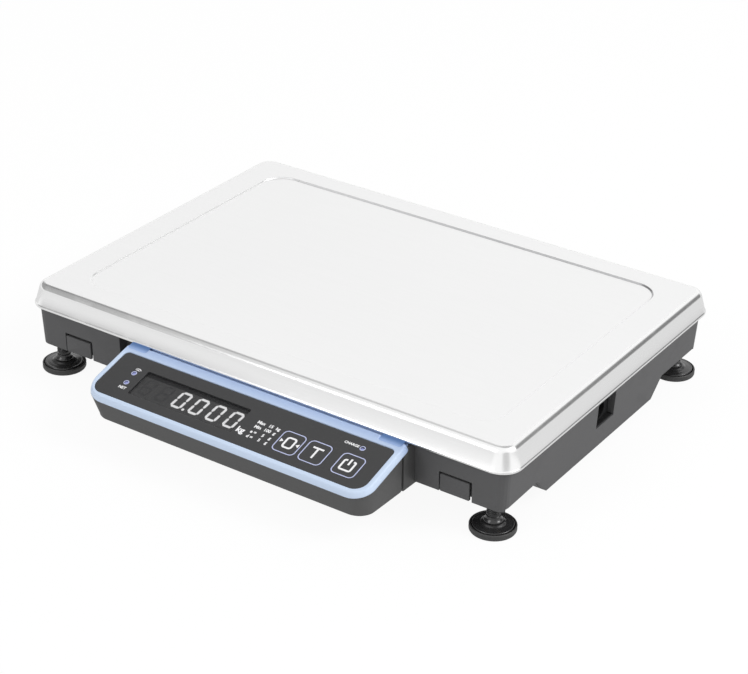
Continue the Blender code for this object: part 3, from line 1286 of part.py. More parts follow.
build_platter()
build_base_housing()
build_underside_cover()
build_load_cell()
build_load_carrier()
build_feet()
build_blanking_covers()
build_power_socket()
build_main_board()
build_battery()
build_level()
build_bezel()
build_panel()
build_head_board()
build_head_housing()
build_neck()
build_lead()
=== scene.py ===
# %% [markdown]
# # Dressing a bench scale
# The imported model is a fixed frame: its solids are the right size and they move on the right
# bodies. This lesson dresses that frame for a picture. Some solids only get a finish. Others are
# made again with rounder edges, and each new piece rides on the body that its solid rides on.
# Sizes are written in millimetres, as on a drawing, and turned into metres when a mesh is made.
# Lengths in a shader, such as the depth of a grain, are written in metres, apart from places on
# the head, which come in millimetres.

# %% Load the frame
import json
import math

import bmesh
import bpy
from mathutils import Matrix, Vector


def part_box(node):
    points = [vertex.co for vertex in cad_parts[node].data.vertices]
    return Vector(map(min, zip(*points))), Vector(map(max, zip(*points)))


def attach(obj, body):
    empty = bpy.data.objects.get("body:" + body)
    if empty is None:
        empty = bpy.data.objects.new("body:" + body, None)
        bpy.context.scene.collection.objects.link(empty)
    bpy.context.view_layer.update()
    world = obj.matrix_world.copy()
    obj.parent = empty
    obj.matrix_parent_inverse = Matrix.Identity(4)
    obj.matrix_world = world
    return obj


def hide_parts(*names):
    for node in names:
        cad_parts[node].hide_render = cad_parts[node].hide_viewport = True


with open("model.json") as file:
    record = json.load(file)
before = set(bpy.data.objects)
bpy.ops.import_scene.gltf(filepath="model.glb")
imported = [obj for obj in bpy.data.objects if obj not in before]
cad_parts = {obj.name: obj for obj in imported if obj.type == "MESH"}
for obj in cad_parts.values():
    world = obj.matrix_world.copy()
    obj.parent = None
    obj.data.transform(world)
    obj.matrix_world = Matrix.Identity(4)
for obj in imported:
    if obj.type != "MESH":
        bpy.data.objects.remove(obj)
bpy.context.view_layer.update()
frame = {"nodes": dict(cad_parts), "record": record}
print("nodes in the frame:", len(frame["nodes"]))

# %% [markdown]
# ## The camera
# A camera far away with a long lens keeps parallel edges nearly parallel, as in a catalogue
# picture. The three angles and the distance were found by lining up corners of the scale with the
# photograph. A camera looks along its own -Z, so its axes are built from the angles one by one.

# %% Camera
def link(name, data):
    """A new object with this data, placed in the scene."""
    made = bpy.data.objects.new(name, data)
    bpy.context.scene.collection.objects.link(made)
    return made


AZIMUTH, ELEVATION, ROLL = (math.radians(angle) for angle in (33.312, 28.334, 1.435))
LENS, SENSOR = 100.55, 36.0
CAMERA_PLACE = Vector((0.613283, -0.906980, 0.622504))


def camera_axes(azimuth, elevation, roll):
    """The camera's right, up and backward directions as the columns of a matrix."""
    forward = Vector((-math.sin(azimuth) * math.cos(elevation),
                      math.cos(azimuth) * math.cos(elevation), -math.sin(elevation)))
    level_right = Vector((math.cos(azimuth), math.sin(azimuth), 0.0))
    level_up = level_right.cross(forward)
    right = math.cos(roll) * level_right + math.sin(roll) * level_up
    up = math.cos(roll) * level_up - math.sin(roll) * level_right
    return Matrix((right, up, -forward)).transposed()


camera = link("camera", bpy.data.cameras.new("camera"))
camera.matrix_world = (Matrix.Translation(CAMERA_PLACE)
                       @ camera_axes(AZIMUTH, ELEVATION, ROLL).to_4x4())
camera.data.lens, camera.data.sensor_width = LENS, SENSOR
camera.data.sensor_fit = "HORIZONTAL"
camera.data.clip_start, camera.data.clip_end = 0.05, 50.0
bpy.context.scene.camera = camera
print("camera stands", round(CAMERA_PLACE.length, 3), "m from the scale")

# %% [markdown]
# ## A shorthand for nodes
# Every finish below is a tree of shader nodes. Small helpers keep the trees readable: the first
# adds a node and fills its sockets, and the others do sums, map one range of values to another,
# mix colours, read the place on the object and make noise.

# %% Node shorthand
def node(tree, kind, inputs=None, **settings):
    """Adds a node. A socket among its inputs is linked, anything else is typed in."""
    made = tree.nodes.new(kind)
    for name, value in settings.items():
        setattr(made, name, value)
    for key, value in (inputs or {}).items():
        if isinstance(value, bpy.types.NodeSocket):
            tree.links.new(value, made.inputs[key])
        else:
            made.inputs[key].default_value = value
    return made


def sums(tree, operation, first, second=0.0, third=0.0):
    """The result of one Math node."""
    return node(tree, "ShaderNodeMath", {0: first, 1: second, 2: third},
                operation=operation).outputs[0]


def times(tree, first, second):
    """Two values multiplied."""
    return sums(tree, "MULTIPLY", first, second)


def ranged(tree, value, low, high, to_low, to_high, smooth=False):
    """The value, mapped from low..high to to_low..to_high and held at the ends."""
    kind = "SMOOTHSTEP" if smooth else "LINEAR"
    return node(tree, "ShaderNodeMapRange", {0: value, 1: low, 2: high, 3: to_low, 4: to_high},
                interpolation_type=kind).outputs[0]


def blended(tree, factor, first, second, blend="MIX"):
    """Two colours, mixed."""
    made = node(tree, "ShaderNodeMix", {0: factor, 6: first, 7: second},
                data_type="RGBA", blend_type=blend)
    return made.outputs[2]


def grey(tree, value):
    """A value as a grey colour."""
    return node(tree, "ShaderNodeCombineColor", {0: value, 1: value, 2: value}).outputs[0]


def parts_of(tree, vector):
    """The x, y and z sockets of a vector."""
    return node(tree, "ShaderNodeSeparateXYZ", {0: vector}).outputs


def place_of(tree):
    """The point on the object in metres."""
    return node(tree, "ShaderNodeTexCoord").outputs["Object"]


def upward(tree):
    """How far a face looks up, from -1 to 1."""
    return parts_of(tree, node(tree, "ShaderNodeNewGeometry").outputs["Normal"])[2]


def cloud(tree, where, scale, detail=3.0, distortion=0.0):
    """A noise texture's value."""
    return node(tree, "ShaderNodeTexNoise", {"Vector": where, "Scale": scale, "Detail": detail,
                                             "Distortion": distortion}).outputs[0]


print("node shorthand ready")

# %% [markdown]
# ## Effects shared by the materials
# Moulded grain, worn edges, handling marks and brushed lines turn up on many pieces at different
# strengths. Each is a node group with named inputs, built once, so one change reaches them all.
# The groups give colours, values and normals only. The shader itself stays in the material.

# %% A group with named sockets
COLOUR, NUMBER, ARROW = "NodeSocketColor", "NodeSocketFloat", "NodeSocketVector"


def effect_group(name, inputs, outputs):
    """An empty node group with these sockets: (tree, its input node, its output node)."""
    tree = bpy.data.node_groups.new(name, "ShaderNodeTree")
    for label, kind, value in inputs:
        tree.interface.new_socket(label, in_out="INPUT", socket_type=kind).default_value = value
    for label, kind in outputs:
        tree.interface.new_socket(label, in_out="OUTPUT", socket_type=kind)
    return tree, tree.nodes.new("NodeGroupInput"), tree.nodes.new("NodeGroupOutput")


def give(tree, end, **results):
    """Links each named result to the group's output of that name."""
    for label, socket in results.items():
        tree.links.new(socket, end.inputs[label])


print("kinds of socket:", COLOUR, NUMBER, ARROW)

# %% [markdown]
# ### Moulded grain
# Plastic housings carry a fine etched grain from the mould, which hides sink marks and scratches.
# Voronoi cells a fraction of a millimetre wide make the grain, and a broad soft cloud varies the
# colour and gloss a little, as uneven mould temperature does.

# %% Moulded grain
def make_moulded_grain():
    """Fine mould texture with slow changes of colour and gloss."""
    tree, start, end = effect_group("moulded_grain", [
        ("Colour", COLOUR, (0.1, 0.1, 0.1, 1.0)), ("Variation", NUMBER, 0.08),
        ("Grain", NUMBER, 1600.0), ("Roughness", NUMBER, 0.5)],
        [("Colour", COLOUR), ("Roughness", NUMBER), ("Height", NUMBER)])
    here = place_of(tree)
    cells = node(tree, "ShaderNodeTexVoronoi", {"Vector": here, "Scale": start.outputs["Grain"]})
    broad = cloud(tree, here, 19.0, 4.0)
    fine = cloud(tree, here, 420.0, 2.0)
    shift = sums(tree, "ADD", sums(tree, "SUBTRACT", broad, 0.5),
                 times(tree, sums(tree, "SUBTRACT", fine, 0.5), 0.5))
    light = sums(tree, "MULTIPLY_ADD", shift, start.outputs["Variation"], 0.5)
    colour = blended(tree, 1.0, start.outputs["Colour"], grey(tree, light), "MULTIPLY")
    doubled = blended(tree, 1.0, colour, colour, "ADD")
    rough = sums(tree, "MULTIPLY_ADD", shift, 0.16, start.outputs["Roughness"])
    height = sums(tree, "MULTIPLY_ADD", fine, 0.4, cells.outputs["Distance"])
    give(tree, end, Colour=doubled, Roughness=rough, Height=height)
    return tree


GRAIN = make_moulded_grain()
print("effect made:", GRAIN.name)

# %% [markdown]
# ### Worn edges
# Edges are never sharp: moulds and press tools have a small radius, and hands polish it. The Bevel
# node gives the normal of a rounded edge, and where it leaves the true normal there is an edge.
# That difference, broken up by noise, is the mask for a slightly paler, worn edge.

# %% Worn edges
def make_edge_wear():
    """Rounded edge normal, and a paler colour along the edges."""
    tree, start, end = effect_group("edge_wear", [
        ("Colour", COLOUR, (0.1, 0.1, 0.1, 1.0)), ("Worn Colour", COLOUR, (0.3, 0.3, 0.3, 1.0)),
        ("Radius", NUMBER, 0.0004), ("Amount", NUMBER, 0.3)],
        [("Colour", COLOUR), ("Mask", NUMBER), ("Normal", ARROW)])
    rounded = node(tree, "ShaderNodeBevel", {"Radius": start.outputs["Radius"]}, samples=4)
    true = node(tree, "ShaderNodeNewGeometry").outputs["Normal"]
    match = node(tree, "ShaderNodeVectorMath", {0: rounded.outputs[0], 1: true},
                 operation="DOT_PRODUCT").outputs["Value"]
    edge = ranged(tree, match, 0.99, 0.80, 0.0, 1.0)
    patchy = ranged(tree, cloud(tree, place_of(tree), 160.0, 6.0), 0.35, 0.65, 0.25, 1.0)
    mask = times(tree, times(tree, edge, patchy), start.outputs["Amount"])
    colour = blended(tree, mask, start.outputs["Colour"], start.outputs["Worn Colour"])
    give(tree, end, Colour=colour, Mask=mask, Normal=rounded.outputs[0])
    return tree


WEAR = make_edge_wear()
print("effect made:", WEAR.name)

# %% [markdown]
# ### Handling marks
# Dust settles on faces that look up, and fingers leave duller or shinier patches. Both stay faint
# here, because the scale is nearly new.

# %% Handling marks
def make_handling_marks():
    """Settled dust and finger smudges."""
    tree, start, end = effect_group("handling_marks", [
        ("Colour", COLOUR, (0.1, 0.1, 0.1, 1.0)), ("Dust Colour", COLOUR, (0.6, 0.58, 0.55, 1.0)),
        ("Roughness", NUMBER, 0.5), ("Dust", NUMBER, 0.05), ("Smudge", NUMBER, 0.06)],
        [("Colour", COLOUR), ("Roughness", NUMBER)])
    here = place_of(tree)
    settled = times(tree, ranged(tree, upward(tree), 0.2, 1.0, 0.0, 1.0),
                    ranged(tree, cloud(tree, here, 900.0, 5.0), 0.55, 0.75, 0.0, 1.0))
    dust = times(tree, settled, start.outputs["Dust"])
    smudge = ranged(tree, cloud(tree, here, 34.0, 2.0, 1.4), 0.52, 0.70, 0.0, 1.0, smooth=True)
    rough = sums(tree, "MULTIPLY_ADD", smudge, start.outputs["Smudge"],
                 sums(tree, "MULTIPLY_ADD", dust, 0.4, start.outputs["Roughness"]))
    colour = blended(tree, dust, start.outputs["Colour"], start.outputs["Dust Colour"])
    give(tree, end, Colour=colour, Roughness=rough)
    return tree


MARKS = make_handling_marks()
print("effect made:", MARKS.name)

# %% [markdown]
# ### Brushed lines
# Sheet steel and machined bars keep fine parallel scratches. Noise squeezed across the lines and
# pulled out along them gives such scratches, each with its own length and depth.

# %% Brushed lines
def make_brushed_lines():
    """Long thin scratches along one axis."""
    tree, start, end = effect_group("brushed_lines", [
        ("Colour", COLOUR, (0.8, 0.8, 0.8, 1.0)), ("Stretch", ARROW, (2.0, 300.0, 300.0)),
        ("Roughness", NUMBER, 0.3), ("Strength", NUMBER, 0.1)],
        [("Colour", COLOUR), ("Roughness", NUMBER), ("Height", NUMBER)])
    here = place_of(tree)
    pulled = node(tree, "ShaderNodeVectorMath", {0: here, 1: start.outputs["Stretch"]},
                  operation="MULTIPLY").outputs[0]
    lines = cloud(tree, pulled, 14.0, 5.0)
    broad = cloud(tree, here, 6.0, 2.0)
    shift = sums(tree, "ADD", sums(tree, "SUBTRACT", lines, 0.5),
                 times(tree, sums(tree, "SUBTRACT", broad, 0.5), 0.4))
    pale = sums(tree, "MULTIPLY_ADD", shift, start.outputs["Strength"], 1.0)
    colour = blended(tree, 1.0, start.outputs["Colour"], grey(tree, pale), "MULTIPLY")
    rough = sums(tree, "MULTIPLY_ADD", shift, start.outputs["Strength"],
                 start.outputs["Roughness"])
    give(tree, end, Colour=colour, Roughness=rough, Height=lines)
    return tree


BRUSHED = make_brushed_lines()
print("effect made:", BRUSHED.name)

# %% [markdown]
# ## Materials
# A material starts as a Principled shader with its constants typed on its own sockets. Colour,
# roughness and bump then arrive from the groups. Colours are noted as they look on a screen, 0 to
# 255, and turned into the linear values that the shader wants.

# %% Start a material
FINISHES = {}


def screen(red, green, blue):
    """A colour as seen on a screen, as the shader's linear colour."""
    def linear(value):
        part = value / 255.0
        return part / 12.92 if part <= 0.04045 else ((part + 0.055) / 1.055) ** 2.4
    return (linear(red), linear(green), linear(blue), 1.0)


def start_material(name, **constants):
    """A new material with constants on its Principled shader: (tree, shader)."""
    made = bpy.data.materials.new(name)
    made.use_nodes = True
    shader = made.node_tree.nodes["Principled BSDF"]
    for socket, value in constants.items():
        shader.inputs[socket.replace("_", " ")].default_value = value
    FINISHES[name] = made
    return made.node_tree, shader


def effect(tree, group, **inputs):
    """Places a shared effect. Underscores in a name stand for spaces."""
    return node(tree, "ShaderNodeGroup", {key.replace("_", " "): value
                                          for key, value in inputs.items()}, node_tree=group)


def dress(tree, shader, colour, rough, relief, depth, normal=None, strength=0.5):
    """Connects colour, roughness and the bump of a grain or of brushed lines to the shader."""
    tree.links.new(colour, shader.inputs["Base Color"])
    tree.links.new(rough, shader.inputs["Roughness"])
    bump = node(tree, "ShaderNodeBump", {"Strength": strength, "Distance": depth,
                                         "Height": relief.outputs["Height"]})
    if normal is not None:
        tree.links.new(normal, bump.inputs["Normal"])
    tree.links.new(bump.outputs[0], shader.inputs["Normal"])


print("mid grey on a screen is", round(screen(128, 128, 128)[0], 3), "to the shader")

# %% [markdown]
# ### Moulded plastics
# The base, the head's shell, the sockets and the pads all come from a mould. They differ in colour,
# in how coarse the grain is and in how much the edges are rubbed, so one function makes them all.
# Worn edges and handling marks are added in the same way on plastic and on metal.

# %% Moulded plastics
def wear_and_handle(tree, shader, body, depth, worn, radius, wear, dust, smudge, strength=0.5):
    """Rubs the edges, adds dust and smudges, and connects the result to the shader."""
    rubbed = effect(tree, WEAR, Colour=body.outputs["Colour"], Worn_Colour=screen(*worn),
                    Radius=radius, Amount=wear)
    handled = effect(tree, MARKS, Colour=rubbed.outputs["Colour"],
                     Roughness=body.outputs["Roughness"], Dust=dust, Smudge=smudge)
    dress(tree, shader, handled.outputs["Colour"], handled.outputs["Roughness"], body, depth,
          rubbed.outputs["Normal"], strength)


def moulded(name, colour, rough, grain=1600.0, depth=0.00003, worn=(150, 150, 152), wear=0.12,
            dust=0.05, radius=0.0004, variation=0.07, painted_shade_to_back=None, **constants):
    """A moulded plastic or rubber, with an optional painted shade: (colour, from, to) towards the
    back of the head.
    """
    tree, shader = start_material(name, **constants)
    base = screen(*colour)
    # Painted shade: the colour darkens towards the back of the head.
    if painted_shade_to_back is not None:
        share = ranged(tree, head_place(tree)[1], painted_shade_to_back[1], painted_shade_to_back[2], 0.0, 1.0, smooth=True)
        base = blended(tree, share, base, screen(*painted_shade_to_back[0]))
    body = effect(tree, GRAIN, Colour=base, Variation=variation, Grain=grain, Roughness=rough)
    wear_and_handle(tree, shader, body, depth, worn, radius, wear, dust, smudge=0.06)


moulded("base_plastic", (87, 87, 88), 0.54)
moulded("head_plastic", (84, 84, 84), 0.52)
moulded("glossy_black", (42, 42, 43), 0.26, grain=500.0, depth=0.00001, wear=0.05,
        Coat_Weight=0.3, Coat_Roughness=0.12)
moulded("black_rubber", (62, 62, 62), 0.5, grain=2400.0, dust=0.12, wear=0.04)
moulded("socket_black", (26, 26, 27), 0.62, grain=900.0, wear=0.05, Specular_IOR_Level=0.2)
moulded("panel_overlay", (60, 60, 61), 0.4, grain=3000.0, depth=0.00001, wear=0.04, dust=0.02,
        radius=0.0002, variation=0.04)
moulded("battery_wrap", (56, 92, 128), 0.35, grain=260.0, depth=0.00004, wear=0.05)
print("moulded finishes:", len(FINISHES))

# %% [markdown]
# ### Metals
# The platter's sheet is brushed along its length and then lightly polished, so it mirrors the
# studio softly. Its flats keep a fine satin film, so there the mirror is mixed with plain white:
# a mask of the faces that look up lowers Metallic. Castings are grainy instead of brushed, and
# plated steel is duller and bluish.

# %% Metals
SATIN_FROM, SATIN_FULL = 0.985, 0.998
BARE_METAL = (250, 250, 250)


def metal(name, colour, rough, stretch, strength, depth, grain=None, satin=None):
    """A metal, brushed along one axis, or cast if a grain is given. Satin: how metallic the
    flats that look up stay, under the fine film that a press leaves on them."""
    tree, shader = start_material(name, Metallic=1.0)
    if grain is None:
        body = effect(tree, BRUSHED, Colour=screen(*colour), Stretch=stretch, Roughness=rough,
                      Strength=strength)
    else:
        body = effect(tree, GRAIN, Colour=screen(*colour), Variation=strength, Grain=grain,
                      Roughness=rough)
    wear_and_handle(tree, shader, body, depth, BARE_METAL, radius=0.0003, wear=0.15, dust=0.01,
                    smudge=0.04, strength=0.25)
    if satin is not None:
        tree.links.new(ranged(tree, upward(tree), SATIN_FROM, SATIN_FULL, 1.0, satin),
                       shader.inputs["Metallic"])


metal("platter_steel", (249, 249, 249), 0.2, (3.0, 260.0, 260.0), 0.07, 0.000004, satin=0.35)
metal("zinc_steel", (196, 198, 202), 0.34, (40.0, 40.0, 40.0), 0.12, 0.00001)
metal("cast_aluminium", (202, 203, 204), 0.48, None, 0.2, 0.00006, grain=900.0)
metal("brass", (214, 178, 98), 0.3, (60.0, 60.0, 3.0), 0.12, 0.00001)
metal("bar_aluminium", (214, 215, 216), 0.32, (3.0, 200.0, 200.0), 0.1, 0.00001)
print("metals made, finishes so far:", len(FINISHES))

# %% [markdown]
# ### The recess's step
# The step round the recess is darker along its back, most at its right back end: this darkening is
# painted shade. It is the same steel, so the same brushed lines are used, with a colour and a
# roughness that change along the step.

# %% Steel of the step
# Where the step's painted shade lies in y and in x, and where the step is rougher in x.
PAINTED_SHADE_Y, PAINTED_SHADE_X, ROUGHER_X = (0.098, 0.116), (-0.14, 0.03), (-0.138, -0.12)


def make_steel_step():
    """Brushed steel with painted shade along the back, and rougher along the left."""
    tree, shader = start_material("steel_step", Metallic=1.0)
    x, y, _ = parts_of(tree, place_of(tree))
    # Painted shade: the step's colour darkens along its back, most towards its right end.
    painted_shade = times(tree, ranged(tree, y, *PAINTED_SHADE_Y, 0.0, 1.0, smooth=True),
                 ranged(tree, x, *PAINTED_SHADE_X, 0.3, 1.0))
    colour = blended(tree, painted_shade, screen(247, 247, 247), screen(194, 194, 195))
    lines = effect(tree, BRUSHED, Colour=colour, Stretch=(3.0, 260.0, 260.0),
                   Roughness=ranged(tree, x, *ROUGHER_X, 0.36, 0.24), Strength=0.08)
    dress(tree, shader, lines.outputs["Colour"], lines.outputs["Roughness"], lines, 0.000004,
          strength=0.25)


make_steel_step()
print("steel of the step made, finishes so far:", len(FINISHES))

# %% [markdown]
# ### Clear and lit pieces
# The window is a thin smoked sheet: mostly see-through, with a gloss that grows towards the rim of
# its view, which is what Fresnel gives. The digits are lit from behind, so they also emit. They
# glow only as strongly as white paper looks, so the picture stays plain. The lights' lenses, the
# level's liquid and the prints glow faintly too, though they give no light: that is painted light.

# %% Clear and lit pieces
def clear_sheet(name, colour, cover, rough):
    """A thin tinted sheet that lets most light through."""
    tree, shader = start_material(name, IOR=1.49)
    body = effect(tree, GRAIN, Colour=screen(*colour), Variation=0.05, Grain=1200.0,
                  Roughness=rough)
    marks = effect(tree, MARKS, Colour=body.outputs["Colour"],
                   Roughness=body.outputs["Roughness"], Dust=0.01, Smudge=0.08)
    dress(tree, shader, marks.outputs["Colour"], marks.outputs["Roughness"], body, 0.000004)
    gloss = node(tree, "ShaderNodeFresnel", {"IOR": 1.49}).outputs[0]
    tree.links.new(sums(tree, "MULTIPLY_ADD", gloss, 0.5, cover), shader.inputs["Alpha"])


def lit(name, colour, glow, power):
    """Its own colour plus a glow that varies a little; on all but the digits, painted light."""
    tree, shader = start_material(name, Emission_Strength=power)
    body = effect(tree, GRAIN, Colour=screen(*colour), Variation=0.05, Grain=2400.0,
                  Roughness=0.3)
    dress(tree, shader, body.outputs["Colour"], body.outputs["Roughness"], body, 0.000005)
    patch = cloud(tree, place_of(tree), 900.0, 2.0)
    shade = blended(tree, ranged(tree, patch, 0.3, 0.7, 0.0, 0.25), screen(*glow),
                    (0.5, 0.5, 0.55, 1.0))
    tree.links.new(shade, shader.inputs["Emission Color"])


clear_sheet("smoked_window", (60, 60, 62), 0.05, 0.12)
clear_sheet("clear_acrylic", (226, 232, 228), 0.22, 0.08)
lit("display_white", (246, 246, 247), (255, 255, 255), 1.3)
lit("unlit_segment", (112, 112, 113), (0, 0, 0), 0.0)
# The lenses, the level's liquid and the prints glow faintly: painted light, as they are no lamps.
lit("indicator_lens", (140, 146, 202), (140, 150, 225), 0.12)
lit("level_liquid", (196, 220, 96), (160, 200, 60), 0.05)
lit("printed_white", (240, 240, 242), (255, 255, 255), 0.15)
lit("printed_line", (196, 202, 236), (190, 200, 240), 0.08)
lit("level_mark", (26, 26, 28), (0, 0, 0), 0.0)
print("clear and lit finishes made, finishes so far:", len(FINISHES))

# %% [markdown]
# ### Three frames
# A piece is drawn in the frame that suits it: the world, the platter or the tilted head. The head's
# frame starts at the middle of the head's front edge, with x across the head and y up its slope. A
# shader that fades towards the head's back needs that frame too.

# %% Frames
MM = 0.001
HEAD_TILT, HEAD_MIDDLE = math.radians(15.0), 9.8
HEAD = (Matrix.Translation((HEAD_MIDDLE, -142.04956, 32.38608))
        @ Matrix.Rotation(HEAD_TILT, 4, "X"))
PLATTER = Matrix.Translation((0.0, 22.54777, 0.0))
WORLD = Matrix.Identity(4)


def head_place(tree):
    """The point in the head's own frame, in millimetres: x, y and z sockets."""
    moved = node(tree, "ShaderNodeVectorMath",
                 {0: place_of(tree), 1: tuple(-part * MM for part in HEAD.to_translation())},
                 operation="ADD").outputs[0]
    turned_back = node(tree, "ShaderNodeMapping",
                       {"Vector": moved, "Rotation": (-HEAD_TILT, 0.0, 0.0),
                        "Scale": (1.0 / MM,) * 3})
    return parts_of(tree, turned_back.outputs[0])


print("the head is tilted by", round(math.degrees(HEAD_TILT), 1), "degrees")

# %% [markdown]
# ### The display's face and the boards
# Behind the window lies a dark face. It is darker under its top and left edges, where the window's
# frame shades it. A board is a green sheet with copper tracks on its two faces, and everything that
# stands up from it is a black or pale part, so height alone can tell them apart.

# %% Display face and boards
FACE_TOP_SHADE, FACE_LEFT_SHADE, BOARD_FACE = (25.9, 27.0), (-66.0, -70.0), 0.03


def make_display_face():
    """The dark face behind the window, shaded under its top and left edges."""
    tree, shader = start_material("display_face")
    across, up_panel, _ = head_place(tree)
    body = effect(tree, GRAIN, Colour=screen(124, 124, 124), Variation=0.05, Grain=1800.0,
                  Roughness=0.42)
    top = ranged(tree, up_panel, *FACE_TOP_SHADE, 0.0, 0.85, smooth=True)
    left = ranged(tree, across, *FACE_LEFT_SHADE, 0.0, 0.1, smooth=True)
    colour = blended(tree, sums(tree, "MAXIMUM", top, left), body.outputs["Colour"],
                     screen(22, 22, 23))
    dress(tree, shader, colour, body.outputs["Roughness"], body, 0.00001)


def make_board():
    """Green laminate with tracks, and the parts that stand on it."""
    tree, shader = start_material("board_laminate")
    height = parts_of(tree, place_of(tree))[2]
    tracks = node(tree, "ShaderNodeTexBrick", {
        "Vector": place_of(tree), "Scale": 180.0, "Mortar Size": 0.05,
        "Color1": screen(24, 96, 58), "Color2": screen(28, 84, 52),
        "Mortar": screen(96, 142, 84)}).outputs["Color"]
    parts = effect(tree, GRAIN, Colour=screen(34, 34, 36), Variation=0.3, Grain=600.0,
                   Roughness=0.4)
    standing = ranged(tree, height, BOARD_FACE, BOARD_FACE + 0.1 * MM, 0.0, 1.0)
    flat = ranged(tree, sums(tree, "ABSOLUTE", upward(tree)), 0.8, 0.9, 0.0, 1.0)
    laminate = blended(tree, flat, screen(150, 146, 100), tracks)
    colour = blended(tree, standing, laminate, parts.outputs["Colour"])
    dress(tree, shader, colour, parts.outputs["Roughness"], parts, 0.00001)


make_display_face()
make_board()
# The frame's blue and the dips' blue darken towards the back with painted shade, where the
# platter's edge would shade them.
moulded("bezel_blue", (214, 231, 255), 0.42, grain=2200.0, depth=0.000015,
        worn=(226, 236, 255), wear=0.25, dust=0.02, radius=0.0005, variation=0.03,
        painted_shade_to_back=((174, 196, 235), 32.0, 45.0))
moulded("bezel_shade", (168, 194, 238), 0.45, grain=2200.0, depth=0.000015, wear=0.05,
        variation=0.03, painted_shade_to_back=((78, 116, 172), 40.2, 45.4))
moulded("lead_grey", (142, 142, 144), 0.5, grain=900.0)
print("all finishes:", sorted(FINISHES))

# %% [markdown]
# ## Softer shading on the solids
# The frame's solids are made of flat faces. Their vertices are never touched. A small geometry-node
# modifier marks gentle edges as smooth and leaves the real corners sharp, so a round wall looks
# round. Each solid then takes the finish of its own slot.

# %% Dress the solids
SMOOTH_BELOW = math.radians(32.0)


def make_gentle_edges():
    """A modifier tree that smooths faces, except across sharp edges."""
    tree = bpy.data.node_groups.new("gentle_edges", "GeometryNodeTree")
    tree.interface.new_socket("Geometry", in_out="INPUT", socket_type="NodeSocketGeometry")
    tree.interface.new_socket("Geometry", in_out="OUTPUT", socket_type="NodeSocketGeometry")
    start, end = tree.nodes.new("NodeGroupInput"), tree.nodes.new("NodeGroupOutput")
    faces = node(tree, "GeometryNodeSetShadeSmooth",
                 {"Geometry": start.outputs[0], "Shade Smooth": True}, domain="FACE")
    angle = node(tree, "GeometryNodeInputMeshEdgeAngle").outputs[0]
    gentle = node(tree, "FunctionNodeCompare", {0: angle, 1: SMOOTH_BELOW},
                  data_type="FLOAT", operation="LESS_THAN").outputs[0]
    edges = node(tree, "GeometryNodeSetShadeSmooth",
                 {"Geometry": faces.outputs[0], "Shade Smooth": gentle}, domain="EDGE")
    tree.links.new(edges.outputs[0], end.inputs[0])
    return tree


GENTLE = make_gentle_edges()
OWN_FINISH = {"display_module": "display_face", "load_cell": "bar_aluminium"}


def dress_solids():
    """Gives every solid its slot's finish and the gentle edges."""
    for part in frame["record"]["subparts"]:
        solid = frame["nodes"][part["node"]]
        finish = FINISHES[OWN_FINISH.get(part["node"], part["material_slot"])]
        if not solid.material_slots:
            solid.data.materials.append(finish)
        for place in solid.material_slots:
            place.material = finish
        solid.modifiers.new("gentle_edges", "NODES").node_group = GENTLE


dress_solids()

# %% [markdown]
# ## Building a piece
# A piece is drawn in millimetres in one of the three frames. Most shapes are skins: a pile of
# outlines with the same number of points, joined ring by ring. Round pieces are lathed, flat ones
# are an outline pulled up, and thin prints are ribbons.

# %% Outlines
CORNER_STEPS = 14
ROUND = 56
CREASE = math.radians(30.0)


def rounded_outline(low, high, front, back, steps=CORNER_STEPS, left=None):
    """Points round a rectangle from low to high, with front, back and left front radii."""
    points = []
    left = front if left is None else left
    for x, y, radius, start in ((high[0], low[1], front, -90.0), (high[0], high[1], back, 0.0),
                                (low[0], high[1], back, 90.0), (low[0], low[1], left, 180.0)):
        centre_x = x - radius if x == high[0] else x + radius
        centre_y = y - radius if y == high[1] else y + radius
        for step in range(steps + 1):
            angle = math.radians(start + 90.0 * step / steps)
            points.append((centre_x + radius * math.cos(angle),
                           centre_y + radius * math.sin(angle)))
    return points


print("points round an outline:", len(rounded_outline((0.0, 0.0), (9.0, 9.0), 1.0, 1.0)))


# %% Skins and lathes
def ring(bm, outline, height):
    """One outline as vertices at a height."""
    return [bm.verts.new((x, y, height)) for x, y in outline]


def skin(bm, rings, close_first=False, close_last=False, loop=False):
    """Joins rings of equal length with faces, and may cap the ends."""
    pairs = list(zip(rings, rings[1:])) + ([(rings[-1], rings[0])] if loop else [])
    for lower, upper in pairs:
        count = len(lower)
        for index in range(count):
            after = (index + 1) % count
            bm.faces.new((lower[index], lower[after], upper[after], upper[index]))
    if close_first:
        bm.faces.new(list(reversed(rings[0])))
    if close_last:
        bm.faces.new(rings[-1])


def lathe(bm, profile, steps=ROUND, centre=(0.0, 0.0)):
    """Turns a profile of (radius, height) round the vertical axis."""
    rings = []
    for radius, height in profile:
        if radius < 1e-6:
            rings.append([bm.verts.new((centre[0], centre[1], height))])
            continue
        rings.append([bm.verts.new((centre[0] + radius * math.cos(math.tau * step / steps),
                                    centre[1] + radius * math.sin(math.tau * step / steps),
                                    height)) for step in range(steps)])
    for lower, upper in zip(rings, rings[1:]):
        for step in range(steps):
            after = (step + 1) % steps
            corners = [lower[step % len(lower)], lower[after % len(lower)],
                       upper[after % len(upper)], upper[step % len(upper)]]
            kept = list(dict.fromkeys(corners))
            if len(kept) > 2:
                bm.faces.new(kept)


def slab(bm, outline, low, high):
    """An outline pulled up from low to high."""
    skin(bm, [ring(bm, outline, low), ring(bm, outline, high)], True, True)


print("a lathed piece has", ROUND, "sides, if nothing else is said")


